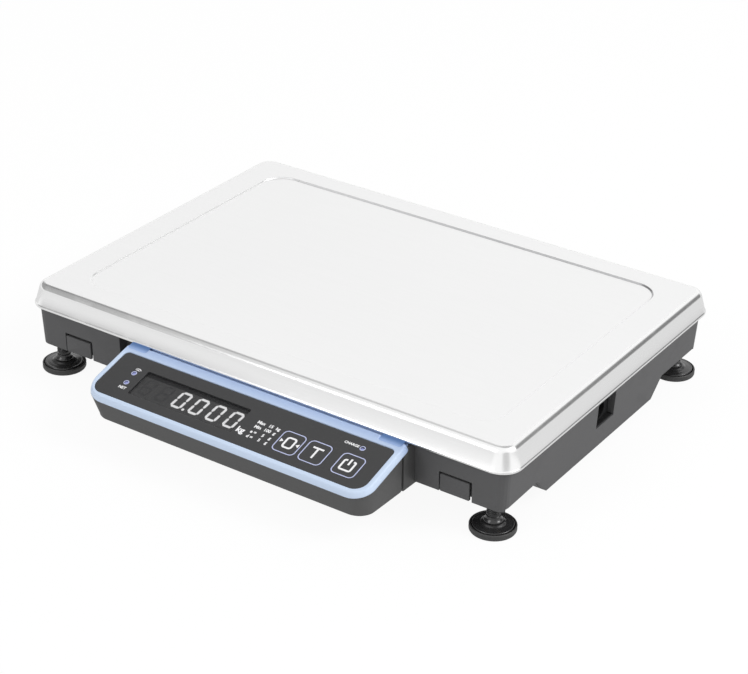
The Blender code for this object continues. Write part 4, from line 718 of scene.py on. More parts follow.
# %% Put a piece in the scene
def to_mesh(name, bm, matrix=WORLD, crease=CREASE):
    """A bmesh in millimetres as a mesh in metres, smooth except at its creases."""
    bmesh.ops.recalc_face_normals(bm, faces=bm.faces)
    mesh = bpy.data.meshes.new(name)
    bm.to_mesh(mesh)
    bm.free()
    mesh.transform(Matrix.Scale(MM, 4) @ matrix)
    mesh.shade_smooth()
    mesh.set_sharp_from_angle(angle=crease)
    return mesh


def evaluated(holder):
    """A mesh of what an object shows, with its modifiers or its curve worked out."""
    bpy.context.view_layer.update()
    return bpy.data.meshes.new_from_object(
        holder.evaluated_get(bpy.context.evaluated_depsgraph_get()))


def lathed(name, profile, steps=ROUND, centre=(0.0, 0.0), matrix=WORLD, crease=CREASE):
    """A mesh that is one lathed profile."""
    bm = bmesh.new()
    lathe(bm, profile, steps, centre)
    return to_mesh(name, bm, matrix, crease)


def pulled_up(name, outline, low, high, matrix=WORLD):
    """A mesh that is one outline pulled up from low to high."""
    bm = bmesh.new()
    slab(bm, outline, low, high)
    return to_mesh(name, bm, matrix)


def put(name, mesh, finish, body="base", slot=None, stands_for=(), place=None):
    """Links a mesh as a piece that rides on a body. Its slot is not used."""
    slot = slot or finish
    made = link(name, mesh)
    if place is not None:
        made.matrix_world = place
    if not mesh.materials:
        for one in finish.split("+"):
            mesh.materials.append(FINISHES[one])
    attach(made, body)
    if stands_for:
        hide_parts(*stands_for)


def cut_away(mesh, *tools):
    """The mesh with the tools' shapes cut out of it."""
    work = link("work", mesh)
    cutters = [link("cutter", shape) for shape in tools]
    for cutter in cutters:
        cut = work.modifiers.new("cut", "BOOLEAN")
        cut.object, cut.operation, cut.solver = cutter, "DIFFERENCE", "EXACT"
    result = evaluated(work)
    result.name = mesh.name
    for spent in [work] + cutters:
        bpy.data.objects.remove(spent)
    result.shade_smooth()
    result.set_sharp_from_angle(angle=CREASE)
    return result


print("building helpers ready")

# %% [markdown]
# ## The platter
# The platter is one sheet of stainless steel, pressed in a single stroke: a shallow recess in the
# top, a rounded crease, a skirt with draft so that it leaves the tool, and a hem rolled outward so
# that no raw edge can cut. A skin of rings follows that section from the recess, over the crease,
# round the hem and back under the sheet, so the thickness is real.

# %% Platter sizes
HALF_X, HALF_Y, TOP, CORNER = 168.0, 120.0, 57.0, 13.0
SHEET = 1.0
BEND, BEND_INSET = 4.2, 7.2
HEM_INSET, HEM_LEVEL = 0.6, 45.0
RECESS_X, RECESS_Y, RECESS_CORNER = 143.0, 98.4, 15.0
RECESS_DEPTH, RECESS_STEP, STEP_END = 0.8, 1.0, 0.62
HEM = [(0.42, 44.75), (0.16, 44.45), (0.02, 44.15), (0.0, 43.75), (0.06, 43.35), (0.25, 43.02),
       (0.60, 42.83), (1.0, 42.8), (1.35, 42.95), (1.55, 43.3), (1.6, 43.8)]


def drafted_bend(radius, steps=9):
    """The crease's arc from the top down to where the straight skirt touches it."""
    run, drop = BEND_INSET - HEM_INSET, TOP - BEND - HEM_LEVEL
    lowest = math.acos(BEND / math.hypot(run, drop)) - math.atan2(drop, run)
    arc = []
    for step in range(steps + 1):
        angle = math.pi / 2 + (lowest - math.pi / 2) * step / steps
        arc.append((BEND_INSET - radius * math.cos(angle), TOP - BEND + radius * math.sin(angle)))
    return arc


def recess_steps(lift, count=7):
    """The recess's S-shaped edge as (growth of its outline, height)."""
    rows = [(-STEP_END, TOP - RECESS_DEPTH + lift)]
    for step in range(count + 1):
        part = step / count
        rise = part * part * (3.0 - 2.0 * part)
        rows.append((RECESS_STEP * (part - 0.5), TOP - RECESS_DEPTH * (1.0 - rise) + lift))
    return rows + [(STEP_END, TOP + lift)]


print("the crease takes", len(drafted_bend(BEND)), "rings, the recess", len(recess_steps(0.0)))


# %% Platter sheet
def build_platter():
    """The whole sheet, outside and inside."""
    bm = bmesh.new()

    def recess_ring(growth, height):
        x, y = RECESS_X + growth, RECESS_Y + growth
        corner = RECESS_CORNER + growth
        return ring(bm, rounded_outline((-x, -y), (x, y), corner, corner), height)

    def skirt_ring(inset, height):
        x, y, corner = HALF_X - inset, HALF_Y - inset, max(CORNER - inset, 0.5)
        return ring(bm, rounded_outline((-x, -y), (x, y), corner, corner), height)

    outside = [recess_ring(*row) for row in recess_steps(0.0)]
    outside += [skirt_ring(BEND_INSET + 1.2, TOP)]
    outside += [skirt_ring(*row) for row in drafted_bend(BEND)]
    outside += [skirt_ring(HEM_INSET, HEM_LEVEL)] + [skirt_ring(*row) for row in HEM]
    inside = [skirt_ring(HEM_INSET + SHEET, HEM_LEVEL + 0.2)]
    inside += [skirt_ring(*row) for row in reversed(drafted_bend(BEND - SHEET))]
    inside += [recess_ring(*row) for row in reversed(recess_steps(-SHEET))]
    skin(bm, outside + inside, True, True)
    for face in bm.faces:
        middle = face.calc_center_median()
        in_recess = abs(middle.x) < RECESS_X + 1.0 and abs(middle.y) < RECESS_Y + 1.0
        face.material_index = int(in_recess and TOP - RECESS_DEPTH < middle.z < TOP - 0.02)
    return to_mesh("platter_sheet", bm, PLATTER, math.radians(50.0))


put("platter_sheet", build_platter(), "platter_steel+steel_step", "platter", "platter_steel",
    ["platter"])
print("platter sheet", SHEET, "mm thick, recess", RECESS_X * 2, "x", RECESS_Y * 2, "mm")

# %% [markdown]
# ## The head's frame
# The light blue frame holds the panel like a picture frame. Its sides flare down to the shell, its
# back border is wide, and a shallow dip at each back corner leaves room for the platter. One closed
# loop of rings makes the section. The dips are cut out afterwards, because they stop half way.

# %% Frame of the head
HEAD_X, HEAD_Y = 95.6, 44.1
FRONT_CORNER, LEFT_CORNER, BACK_CORNER, OPENING_CORNER, LEAST_CORNER = 10.5, 13.5, 3.2, 3.1, 0.4
BORDER, BACK_BORDER, LEDGE = 2.8, 6.3, 4.5
DIP, DIP_FROM, DIP_SLOPE, DIP_CORNER = 0.8, 40.3, 0.7, 1.6
DIPS = {-1: (-95.9, -81.2), 1: (78.2, 94.0)}
FLARE = [(1.4, -3.3), (1.2, -2.6), (0.9, -1.9), (0.6, -1.3), (0.35, -0.84), (0.15, -0.52),
         (-0.02, -0.27), (-0.22, -0.1), (-0.45, -0.02), (-0.75, 0.0)]
REBATE = -1.9


def head_outline(outset):
    """The head's outer outline."""
    return rounded_outline((-HEAD_X - outset, -outset), (HEAD_X + outset, HEAD_Y + outset),
                           FRONT_CORNER + outset, BACK_CORNER + outset,
                           left=LEFT_CORNER + outset)


def panel_outline(inset):
    """The outline of the opening in the frame."""
    return rounded_outline((-HEAD_X + BORDER + inset, BORDER + inset),
                           (HEAD_X - BORDER - inset, HEAD_Y - BACK_BORDER - inset),
                           max(FRONT_CORNER - BORDER - inset, LEAST_CORNER),
                           max(OPENING_CORNER - inset, LEAST_CORNER))


print("frame of the head:", HEAD_X * 2, "x", HEAD_Y, "mm")


# %% Build the frame
def dip_box(side, *levels):
    """One corner dip as a pile of outlines: each level is (height, how far inside the rim)."""
    bm = bmesh.new()
    left, right = DIPS[side]
    skin(bm, [ring(bm, rounded_outline((left + inset, DIP_FROM + inset),
                                       (right - inset, HEAD_Y + 3.0), DIP_CORNER, 0.2, 5),
                     height)
              for height, inset in levels], True, True)
    return bm


def build_frame():
    """The blue frame with its rebate, ledge and dips."""
    bm = bmesh.new()
    rings = [ring(bm, head_outline(outset), height) for outset, height in FLARE]
    rings += [ring(bm, panel_outline(inset), height) for inset, height in (
        (-0.35, 0.0), (-0.12, -0.07), (0.0, -0.3), (0.0, REBATE), (LEDGE, REBATE),
        (LEDGE, FLARE[0][1]))]
    skin(bm, rings, loop=True)
    tools = [to_mesh("dip", dip_box(side, (-DIP, DIP_SLOPE), (0.02, 0.0), (3.0, -1.5)), HEAD)
             for side in (-1, 1)]
    return cut_away(to_mesh("bezel_frame", bm, HEAD), *tools)


put("bezel_frame", build_frame(), "bezel_blue", stands_for=["head_bezel"])
# Darker blue pads lie on the dips' floors: painted shade in the dips.
for side, label in ((-1, "left"), (1, "right")):
    pad = dip_box(side, (-DIP - 0.3, DIP_SLOPE), (-DIP + 0.06, DIP_SLOPE - 0.04))
    put(f"bezel_dip_{label}", to_mesh("bezel_dip", pad, HEAD), "bezel_shade", slot="bezel_blue")

# The frame's tail tucks in under the platter's hem, with air above it.
TAIL_LOW, TAIL_TOP, TAIL_FROM, TAIL_TO = -3.3, -2.5, 43.0, 47.2
TAIL = rounded_outline((-HEAD_X + 3.0, TAIL_FROM), (HEAD_X - 1.0, TAIL_TO), 0.3, 1.5, 5)
put("bezel_tail", pulled_up("bezel_tail", TAIL, TAIL_LOW, TAIL_TOP, HEAD), "bezel_blue")
print("frame built, with", len(DIPS), "dips and a tail")

# %% [markdown]
# ## The head's shell
# The lower shell hangs from the frame. Its rim lies on the frame's tilted plane and its floor is
# almost level, so the skin runs from a level outline to a tilted one. Its left end slopes in
# towards the floor and its right end stands nearly upright. Four sinks in the floor are cut out
# for its screws. The neck behind it has the same slopes and fills the base's pocket.

# %% Shell of the head
SHELL_X, SHELL_FRONT, SHELL_BACK, SHELL_FLOOR, SHELL_RIM = 95.8, -141.347, -102.452, 16.6, -3.6
LEFT_SLOPE, RIGHT_SLOPE, FRONT_SLOPE, FLOOR_FALL = 5.2, -0.3, 1.0, 0.031
SHELL_CORNER = 2.6
HEAD_SCREWS = [(x, y) for x in (98.6, -79.0) for y in (-125.629, -108.435)]
SINK_RADIUS, HEAD_SINK = 3.1, 19.7


def left_end(slope, inset):
    """Where the shell and the neck end at the left. Slope is 0 at the rim and 1 at the floor."""
    return HEAD_MIDDLE - SHELL_X + LEFT_SLOPE * slope + inset


def shell_outline(inset, slope):
    """The shell seen from above, in the world's frame."""
    return rounded_outline((left_end(slope, inset), SHELL_FRONT + FRONT_SLOPE * slope + inset),
                           (HEAD_MIDDLE + SHELL_X - RIGHT_SLOPE * slope - inset,
                            SHELL_BACK - inset),
                           FRONT_CORNER - inset, SHELL_CORNER - inset * 0.6)


def rim_height(y, depth):
    """The height above y of the plane at this depth below the panel."""
    point = HEAD @ Vector((0.0, 0.0, depth))
    return point.z + (y - point.y) * math.tan(HEAD_TILT)


def floor_ring(bm, outline, rise):
    """An outline a little above the head's floor, which falls slightly towards the back."""
    return [bm.verts.new((x, y, SHELL_FLOOR - FLOOR_FALL * (y - SHELL_FRONT) + rise))
            for x, y in outline]


def build_shell():
    """Floor, rounded foot, sloping walls and a rim under the frame, as one closed skin."""
    bm = bmesh.new()
    rings = [floor_ring(bm, shell_outline(inset, 1.0), rise) for inset, rise in (
        (2.0, 0.0), (1.1, 0.1), (0.45, 0.45), (0.1, 1.0), (0.0, 1.8))]
    for inset in (0.0, 1.6):
        outline = shell_outline(inset, 0.0)
        rings.append([bm.verts.new((x, y, rim_height(y, SHELL_RIM))) for x, y in outline])
    rings += [floor_ring(bm, shell_outline(2.4, 1.0), 2.4)]
    skin(bm, rings, True, True)
    sink = [(0.0, 8.0), (SINK_RADIUS, 8.0), (SINK_RADIUS, HEAD_SINK), (0.0, HEAD_SINK)]
    return cut_away(to_mesh("head_shell", bm),
                    *[lathed("sink", sink, 32, place) for place in HEAD_SCREWS])


put("head_shell", build_shell(), "head_plastic", stands_for=["head_housing"])
print("shell floor at", SHELL_FLOOR, "mm, with", len(HEAD_SCREWS), "sinks")

# %% Neck
NECK_FIT, NECK_RIM, NECK_TOP, NECK_FRONT, NECK_BACK = 0.3, -2.2, 42.3, -102.15, -86.05


def build_neck():
    """The neck carries the head's slopes on into the base's pocket."""
    bm = bmesh.new()

    def outline(slope, inset):
        return rounded_outline((left_end(slope, inset), NECK_FRONT),
                               (HEAD_MIDDLE + SHELL_X + NECK_FIT - inset, NECK_BACK),
                               0.3, 0.3, 4)

    rings = [floor_ring(bm, outline(1.0, inset), rise) for inset, rise in (
        (0.6, 0.0), (0.2, 0.15), (0.0, 0.6))]
    rings.append([bm.verts.new((x, y, min(rim_height(y, NECK_RIM), NECK_TOP)))
                  for x, y in outline(0.0, 0.0)])
    skin(bm, rings, True, True)
    return to_mesh("neck_block", bm)


put("neck_block", build_neck(), "head_plastic", stands_for=["head_neck"])
print("neck is", round(NECK_BACK - NECK_FRONT, 2), "mm deep")

# %% [markdown]
# ## The panel
# The dark panel is a flat sheet with openings for the window, three keys and three lights. The
# quickest way to a sheet with many holes is a flat curve: one outer spline, one spline for each
# hole, filled and pulled up, with a tiny bevel on every rim.

# %% Sheet from curves
def pierced_sheet(name, outline, holes, low, high, edge, matrix):
    """A flat sheet with holes and slightly rounded rims, from one filled curve."""
    curve = bpy.data.curves.new(name, "CURVE")
    curve.dimensions, curve.fill_mode = "2D", "BOTH"
    curve.extrude, curve.bevel_depth = (high - low) / 2.0 - edge, edge
    curve.bevel_resolution, curve.offset = 1, -edge
    for loop in [outline] + holes:
        spline = curve.splines.new("POLY")
        spline.points.add(len(loop) - 1)
        for point, (x, y) in zip(spline.points, loop):
            point.co = (x, y, 0.0, 1.0)
        spline.use_cyclic_u = True
    holder = link(name, curve)
    mesh = evaluated(holder)
    bpy.data.objects.remove(holder)
    bm = bmesh.new()
    bm.from_mesh(mesh)
    bmesh.ops.remove_doubles(bm, verts=bm.verts, dist=1e-4)
    bmesh.ops.translate(bm, verts=bm.verts, vec=(0.0, 0.0, (low + high) / 2.0))
    return to_mesh(name, bm, matrix, math.radians(20.0))


def circle(x, y, radius, steps=28):
    """Points round a circle."""
    return [(x + radius * math.cos(math.tau * step / steps),
             y + radius * math.sin(math.tau * step / steps)) for step in range(steps)]


def keyed(x, y, half_x, half_y, corner):
    """A rounded rectangle about a point."""
    return rounded_outline((x - half_x, y - half_y), (x + half_x, y + half_y), corner, corner, 6)


print("points round a hole:", len(circle(0.0, 0.0, 1.0)), "if round,",
      len(keyed(0.0, 0.0, 2.0, 2.0, 1.0)), "if square")

# %% Panel
WINDOW = (-33.8, 19.4, 36.5, 10.0)
KEYS = {"key_zero": 37.1, "key_tare": 54.2, "key_power": 75.8}
KEY_ROW, KEY_HALF_X, KEY_HALF_Y, KEY_CORNER = 16.8, 7.6, 8.3, 3.2
LENSES = {"indicator_link": (-77.0, 24.4), "indicator_network": (-76.3, 16.3),
          "indicator_mains": (75.6, 31.0)}
LENS_RADIUS = 1.1
PANEL_LOW, PANEL_TOP, PANEL_GAP = -1.6, -0.3, 0.3


def build_panel():
    """The dark sheet with its openings."""
    holes = [keyed(*WINDOW, 1.2)]
    holes += [keyed(x, KEY_ROW, KEY_HALF_X, KEY_HALF_Y, KEY_CORNER) for x in KEYS.values()]
    holes += [circle(x, y, LENS_RADIUS + 0.05) for x, y in LENSES.values()]
    return pierced_sheet("panel_sheet", panel_outline(PANEL_GAP), holes, PANEL_LOW, PANEL_TOP,
                         0.12, HEAD)


put("panel_sheet", build_panel(), "panel_overlay", stands_for=["keypad_panel"])
print("panel with", 1 + len(KEYS) + len(LENSES), "openings")

# %% [markdown]
# ### Keys
# A key's cap fills its opening but for a thin gap. Below it a plunger reaches down to the switch,
# as far as the key's own solid does, and both ride on the key.

# %% Keys
def lowest_in_head(name):
    """How deep a solid reaches below the panel, in the head's frame."""
    back = HEAD.inverted() @ Matrix.Scale(1.0 / MM, 4)
    return min((back @ vertex.co).z for vertex in frame["nodes"][name].data.vertices)


KEY_GAP = 0.12
for key, x in KEYS.items():
    outline = keyed(x, KEY_ROW, KEY_HALF_X - KEY_GAP, KEY_HALF_Y - KEY_GAP, KEY_CORNER - KEY_GAP)
    cap = pierced_sheet(f"{key}_cap", outline, [], PANEL_LOW, PANEL_TOP, 0.1, HEAD)
    put(f"{key}_cap", cap, "panel_overlay", key, stands_for=[key])
    lowest = lowest_in_head(key)
    plunger = lathed(f"{key}_plunger", [(0.0, PANEL_LOW), (2.2, PANEL_LOW), (1.8, PANEL_LOW - 0.8),
                                        (1.8, lowest), (0.0, lowest)], 32, (x, KEY_ROW), HEAD)
    put(f"{key}_plunger", plunger, "panel_overlay", key)
print("keys:", len(KEYS))

# %% [markdown]
# ## Prints
# The marks are screen printed, a few hundredths of a millimetre thick. Lines are ribbons with
# mitred corners, so they keep one width round a bend. Words come from Blender's own font.

# %% Ribbons
PRINT, BOLD, MITRE_LIMIT = 0.03, 0.035, 0.4


def ribbon(bm, points, width, low, high, closed=False):
    """A flat line of one width along the points."""
    count = len(points)
    sides = []
    for index, (x, y) in enumerate(points):
        before = points[index - 1] if closed or index else points[index]
        after = points[(index + 1) % count] if closed or index < count - 1 else points[index]
        arriving = Vector((x - before[0], y - before[1]))
        leaving = Vector((after[0] - x, after[1] - y))
        arriving = arriving.normalized() if arriving.length > 1e-9 else leaving.normalized()
        leaving = leaving.normalized() if leaving.length > 1e-9 else arriving
        across = (arriving + leaving).normalized()
        across = Vector((-across.y, across.x))
        reach = width / 2.0 / max(across.dot(Vector((-leaving.y, leaving.x))), MITRE_LIMIT)
        sides.append(((x + across.x * reach, y + across.y * reach),
                      (x - across.x * reach, y - across.y * reach)))
    rows = [[bm.verts.new((*left, low)), bm.verts.new((*right, low)),
             bm.verts.new((*right, high)), bm.verts.new((*left, high))] for left, right in sides]
    for index in range(count if closed else count - 1):
        first, second = rows[index], rows[(index + 1) % count]
        for side in range(4):
            after = (side + 1) % 4
            bm.faces.new((first[side], first[after], second[after], second[side]))
    if not closed:
        bm.faces.new(rows[0])
        bm.faces.new(list(reversed(rows[-1])))


def arc(x, y, radius, first, last, steps=14):
    """Points along an arc, angles in degrees."""
    return [(x + radius * math.cos(math.radians(first + (last - first) * step / steps)),
             y + radius * math.sin(math.radians(first + (last - first) * step / steps)))
            for step in range(steps + 1)]


print("a print is", PRINT, "mm thick")


# %% Prints
def print_piece(name, strokes, body="base", finish="printed_white"):
    """Ribbons, each (points, width, closed), as one print."""
    bm = bmesh.new()
    for points, width, closed in strokes:
        ribbon(bm, points, width, PANEL_TOP, PANEL_TOP + PRINT, closed)
    put(name, to_mesh(name, bm, HEAD), finish, body, "display_white")


def print_words(name, words):
    """Several short words, each (text, x, y, size), as one print."""
    bm = bmesh.new()
    for text, x, y, size in words:
        letters = bpy.data.curves.new(name, "FONT")
        letters.body, letters.size, letters.align_x = text, size, "CENTER"
        letters.align_y, letters.extrude, letters.resolution_u = "CENTER", PRINT / 2.0, 3
        letters.offset = size * BOLD
        holder = link(name, letters)
        mesh = evaluated(holder)
        mesh.transform(Matrix.Translation((x, y, PANEL_TOP + PRINT / 2.0)))
        bm.from_mesh(mesh)
        bpy.data.objects.remove(holder)
    bmesh.ops.remove_doubles(bm, verts=bm.verts, dist=1e-5)
    put(name, to_mesh(name, bm, HEAD), "printed_white", slot="display_white")


print("prints lie on the panel, at", PANEL_TOP, "mm")

# %% [markdown]
# ### Key marks
# Each key has a pale outline and a white sign: a nought between two small arrowheads for zero, a T
# for tare, and a ring with a bar for power. The signs ride on their keys, so they go in with them.

# %% Key marks
KEY_LINE, SIGN_LINE = 0.6, 1.2
for key, x in KEYS.items():
    print_piece(f"{key}_outline", [(keyed(x, KEY_ROW, 7.15, 7.8, 2.8), KEY_LINE, True)], key,
                "printed_line")


def arrowhead(x, y, reach, rows=6):
    """A small solid arrowhead that points along x, as a row of short ribbons."""
    step = reach / rows
    return [([(x + step * row, y), (x + step * (row + 1.0), y)],
             2.8 * (1.0 - (row + 0.5) / rows), False) for row in range(rows)]


NOUGHT = keyed(37.2, KEY_ROW, 2.75, 3.7, 1.4)
RING = ([(77.4, 20.0)] + arc(78.1, 19.2, 0.8, 90.0, 0.0, 4) + arc(77.9, 13.9, 1.0, 0.0, -90.0, 4)
        + arc(72.9, 13.9, 1.0, 270.0, 180.0, 4) + arc(72.7, 19.2, 0.8, 180.0, 90.0, 4)
        + [(73.6, 20.0)])
print_piece("key_zero_sign", [(NOUGHT, SIGN_LINE, True)] + arrowhead(31.1, 16.9, 2.0)
            + arrowhead(43.3, 16.9, -2.0), "key_zero")
print_piece("key_tare_sign", [([(50.8, 20.3), (57.8, 20.3)], SIGN_LINE, False),
                              ([(54.3, 20.3), (54.3, 12.6)], SIGN_LINE, False)], "key_tare")
print_piece("key_power_sign", [(RING, SIGN_LINE, False),
                               ([(75.5, 21.6), (75.5, 16.9)], SIGN_LINE, False)], "key_power")
print("key marks:", 2 * len(KEYS))

# %% [markdown]
# ### Panel marks
# Small words name the lights and the unit, and a little table gives the scale's range. They are
# general words and numbers that any scale could carry. A thin ring stands round each light.

# %% Panel marks
print_piece("link_waves", [(arc(-76.3, 26.3, radius, 30.0, 150.0, 8), 0.5, False)
                           for radius in (1.1, 2.2)])
print_words("unit_word", [("kg", 6.6, 13.5, 5.6)])
print_words("light_words", [("NET", -75.9, 11.9, 2.7), ("CHARGE", 68.4, 31.3, 2.4)])
RANGE_COLUMNS = (14.2, 20.6, 25.4)
RANGE_ROWS = {23.0: ("Max", "15", "kg"), 19.3: ("Min", "100", "g"), 15.1: ("e =", "5", "g"),
              11.3: ("d =", "5", "g")}
print_words("range_table", [(word, x, y, 3.0) for y, words in RANGE_ROWS.items()
                            for word, x in zip(words, RANGE_COLUMNS)])
bm = bmesh.new()
for x, y in LENSES.values():
    inner, outer, raised = LENS_RADIUS + 0.1, LENS_RADIUS + 0.6, PANEL_TOP + PRINT
    skin(bm, [ring(bm, circle(x, y, radius), height) for radius, height in (
        (inner, PANEL_TOP), (inner, raised), (outer, raised), (outer, PANEL_TOP))], loop=True)
put("light_rings", to_mesh("light_rings", bm, HEAD), "printed_line", slot="indicator_lens")
print("marks on the panel: 5")

# %% [markdown]
# ## The digits
# A seven-segment digit is seven bars with pointed ends. Lit bars stand a hair above the display's
# face and glow. Two digits to their left are off and show only as a faint ghost.

# %% Seven segments
DIGIT_X, DIGIT_Y, DIGIT_SLANT, BAR = 6.1, 11.5, math.tan(math.radians(4.5)), 1.55
FACE = -1.88
SEGMENT_LOW, LIT_TOP, UNLIT_TOP = FACE + 0.01, FACE + 0.07, FACE + 0.03
BARS = {"top": ((0, 2), (1, 2)), "upper_left": ((0, 1), (0, 2)), "upper_right": ((1, 1), (1, 2)),
        "middle": ((0, 1), (1, 1)), "lower_left": ((0, 0), (0, 1)), "lower_right": ((1, 0), (1, 1)),
        "bottom": ((0, 0), (1, 0))}


def bar(bm, first, second, width, low, high):
    """One pointed bar between two corners of a digit."""
    start, end = Vector(first), Vector(second)
    along = (end - start).normalized()
    side = Vector((-along.y, along.x)) * width / 2.0
    start, end = start + along * 0.1, end - along * 0.1
    tip = along * width / 2.0
    corners = [start, start + tip - side, end - tip - side, end, end - tip + side,
               start + tip + side]
    slab(bm, [(point.x, point.y) for point in corners], low, high)


def digit(bm, left, bottom, names, low, high):
    """The named bars of one digit."""
    def corner(column, row):
        rise = row * DIGIT_Y / 2.0
        return (left + column * DIGIT_X + rise * DIGIT_SLANT, bottom + rise)
    for name in names:
        first, second = BARS[name]
        bar(bm, corner(*first), corner(*second), BAR, low, high)


print("bars of a digit:", len(BARS))

# %% Digits
WINDOW_X, WINDOW_Y, WINDOW_HALF_X, WINDOW_HALF_Y = WINDOW
SHEET_OUTLINE = keyed(WINDOW_X, WINDOW_Y, WINDOW_HALF_X + 0.3, WINDOW_HALF_Y + 0.3, 1.2)
put("display_sheet", pulled_up("display_sheet", SHEET_OUTLINE, FACE - 0.1, FACE, HEAD),
    "display_face", slot="smoked_window")

ZERO = [name for name in BARS if name != "middle"]
DIGIT_LEFT, DIGIT_PITCH, DIGIT_BOTTOM = -42.6, 12.07, 13.55
bm = bmesh.new()
for index in range(4):
    digit(bm, DIGIT_LEFT + DIGIT_PITCH * index, DIGIT_BOTTOM, ZERO, SEGMENT_LOW, LIT_TOP)
slab(bm, circle(-34.0, 13.6, 0.85, 20), SEGMENT_LOW, LIT_TOP)
put("lit_digits", to_mesh("lit_digits", bm, HEAD), "display_white")

bm = bmesh.new()
for index in (-2, -1):
    digit(bm, DIGIT_LEFT + DIGIT_PITCH * index, DIGIT_BOTTOM, BARS, SEGMENT_LOW, UNLIT_TOP)
put("unlit_digits", to_mesh("unlit_digits", bm, HEAD), "unlit_segment", slot="display_white")
print("digits: 4 lit, 2 unlit")

# %% [markdown]
# ## The feet
# A levelling foot is three pieces: a rubber sole with a lip, a glossy plate that snaps into it and
# swivels, and a threaded screw with a collar to turn it by. The sole and the plate are lathed. The
# thread is a helix: the same small tooth profile is carried round and up a little at each step.

# %% Sole and plate
FEET = {"front_left": (-152.0, -84.052), "front_right": (152.0, -84.052),
        "back_left": (-152.0, 129.148), "back_right": (152.0, 129.148)}
SOLE_PROFILE = [
    (0.0, 0.35), (2.2, 0.35), (2.5, 0.05), (3.2, 0.0), (4.6, 0.0), (5.2, 0.3), (5.6, 0.35),
    (6.2, 0.3), (6.7, 0.0), (8.4, 0.0), (8.9, 0.3), (9.4, 0.35), (9.9, 0.3), (10.4, 0.0),
    (12.3, 0.0), (12.9, 0.15), (13.15, 0.6), (13.2, 1.2), (13.05, 1.9), (13.0, 2.1),
    (13.15, 2.35), (13.2, 2.9), (13.08, 3.3), (12.8, 3.55), (12.5, 3.6), (12.25, 3.5),
    (12.1, 3.2), (12.1, 1.5), (0.0, 1.5)]
PLATE_PROFILE = [
    (0.0, 1.8), (11.3, 1.8), (11.6, 2.0), (11.6, 3.5), (11.5, 3.85), (11.25, 4.05), (10.9, 4.1),
    (10.5, 4.0), (10.2, 4.02), (9.2, 4.25), (8.2, 4.4), (7.6, 4.42), (7.3, 4.5), (6.9, 4.75),
    (6.4, 5.1), (5.9, 5.45), (5.5, 5.6), (4.4, 5.6), (4.1, 5.4), (4.1, 3.1), (0.0, 3.1)]
FOOT_CREASE = math.radians(50.0)
SOLE = lathed("foot_tread", SOLE_PROFILE, 72, crease=FOOT_CREASE)
DISC = lathed("foot_disc", PLATE_PROFILE, 72, crease=FOOT_CREASE)
print("the sole is", 2 * max(radius for radius, _ in SOLE_PROFILE), "mm wide")

# %% Threaded screw
CREST, ROOT, PITCH = 4.0, 3.42, 1.25
THREAD_LOW, THREAD_TOP, TURN_STEPS = 9.2, 28.9, 36
COLLAR, COLLAR_LOW, COLLAR_TOP = 5.6, 5.9, 8.9
TOOTH = [(0.0, ROOT), (0.14, ROOT), (0.46, CREST - 0.04), (0.54, CREST), (0.66, CREST),
         (0.74, CREST - 0.04), (1.0, ROOT)]
TOOTH_SHARE = 0.999  # a turn stops just short of the next one, so that their edges stay apart


def build_screw():
    """Collar, run-out, thread and chamfered end."""
    bm = bmesh.new()
    lathe(bm, [(0.0, 3.4), (3.7, 3.4), (3.95, 3.7), (3.95, COLLAR_LOW)], 48)
    lathe(bm, [(3.9, COLLAR_LOW), (5.2, COLLAR_LOW), (COLLAR - 0.1, COLLAR_LOW + 0.2),
               (COLLAR - 0.15, COLLAR_LOW + 0.6), (5.1, COLLAR_LOW + 1.0), (4.6, COLLAR_LOW + 1.5),
               (4.25, COLLAR_LOW + 2.1), (4.1, COLLAR_TOP), (ROOT + 0.02, COLLAR_TOP + 0.5),
               (ROOT, THREAD_LOW + 0.4)], 48)
    turns = (THREAD_TOP - THREAD_LOW) / PITCH
    rows = []
    for step in range(int(turns * TURN_STEPS) + 1):
        angle = math.tau * step / TURN_STEPS
        rise = THREAD_LOW + PITCH * step / TURN_STEPS
        fade = min(1.0, step / TURN_STEPS * 2.0, (turns * TURN_STEPS - step) / TURN_STEPS)
        tooth = [(ROOT + (radius - ROOT) * fade, rise + part * PITCH * TOOTH_SHARE)
                 for part, radius in TOOTH]
        rows.append([bm.verts.new((reach * math.cos(angle), reach * math.sin(angle), height))
                     for reach, height in tooth])
    for first, second in zip(rows, rows[1:]):
        for index in range(len(TOOTH) - 1):
            bm.faces.new((first[index], second[index], second[index + 1], first[index + 1]))
    lathe(bm, [(ROOT, THREAD_LOW + 0.2), (ROOT, 29.2), (ROOT - 0.5, 29.7), (0.0, 29.7)])
    return to_mesh("foot_screw", bm, WORLD, math.radians(35.0))


SCREW = build_screw()
print("faces of a foot's screw:", len(SCREW.polygons))

# %% Place the feet
for corner, (x, y) in FEET.items():
    spot = Matrix.Translation((x * MM, y * MM, 0.0))
    for piece, mesh, finish, body, solid in (
            ("tread", SOLE, "black_rubber", "foot", "foot_sole"),
            ("disc", DISC, "glossy_black", "foot", "foot_plate"),
            ("screw", SCREW, "glossy_black", "stem", "foot_stem")):
        put(f"foot_{piece}_{corner}", mesh, finish, f"{body}_{corner}",
            stands_for=[f"{solid}_{corner}"], place=spot)
print("feet:", len(FEET), "with a thread pitch of", PITCH, "mm")

# %% [markdown]
# ## Screws with a cross recess
# The cover and the head's shell are held by small screws whose heads sit in modelled sinks. One
# screw is made, with its cross cut by two crossed tapered blades, and then placed ten times.

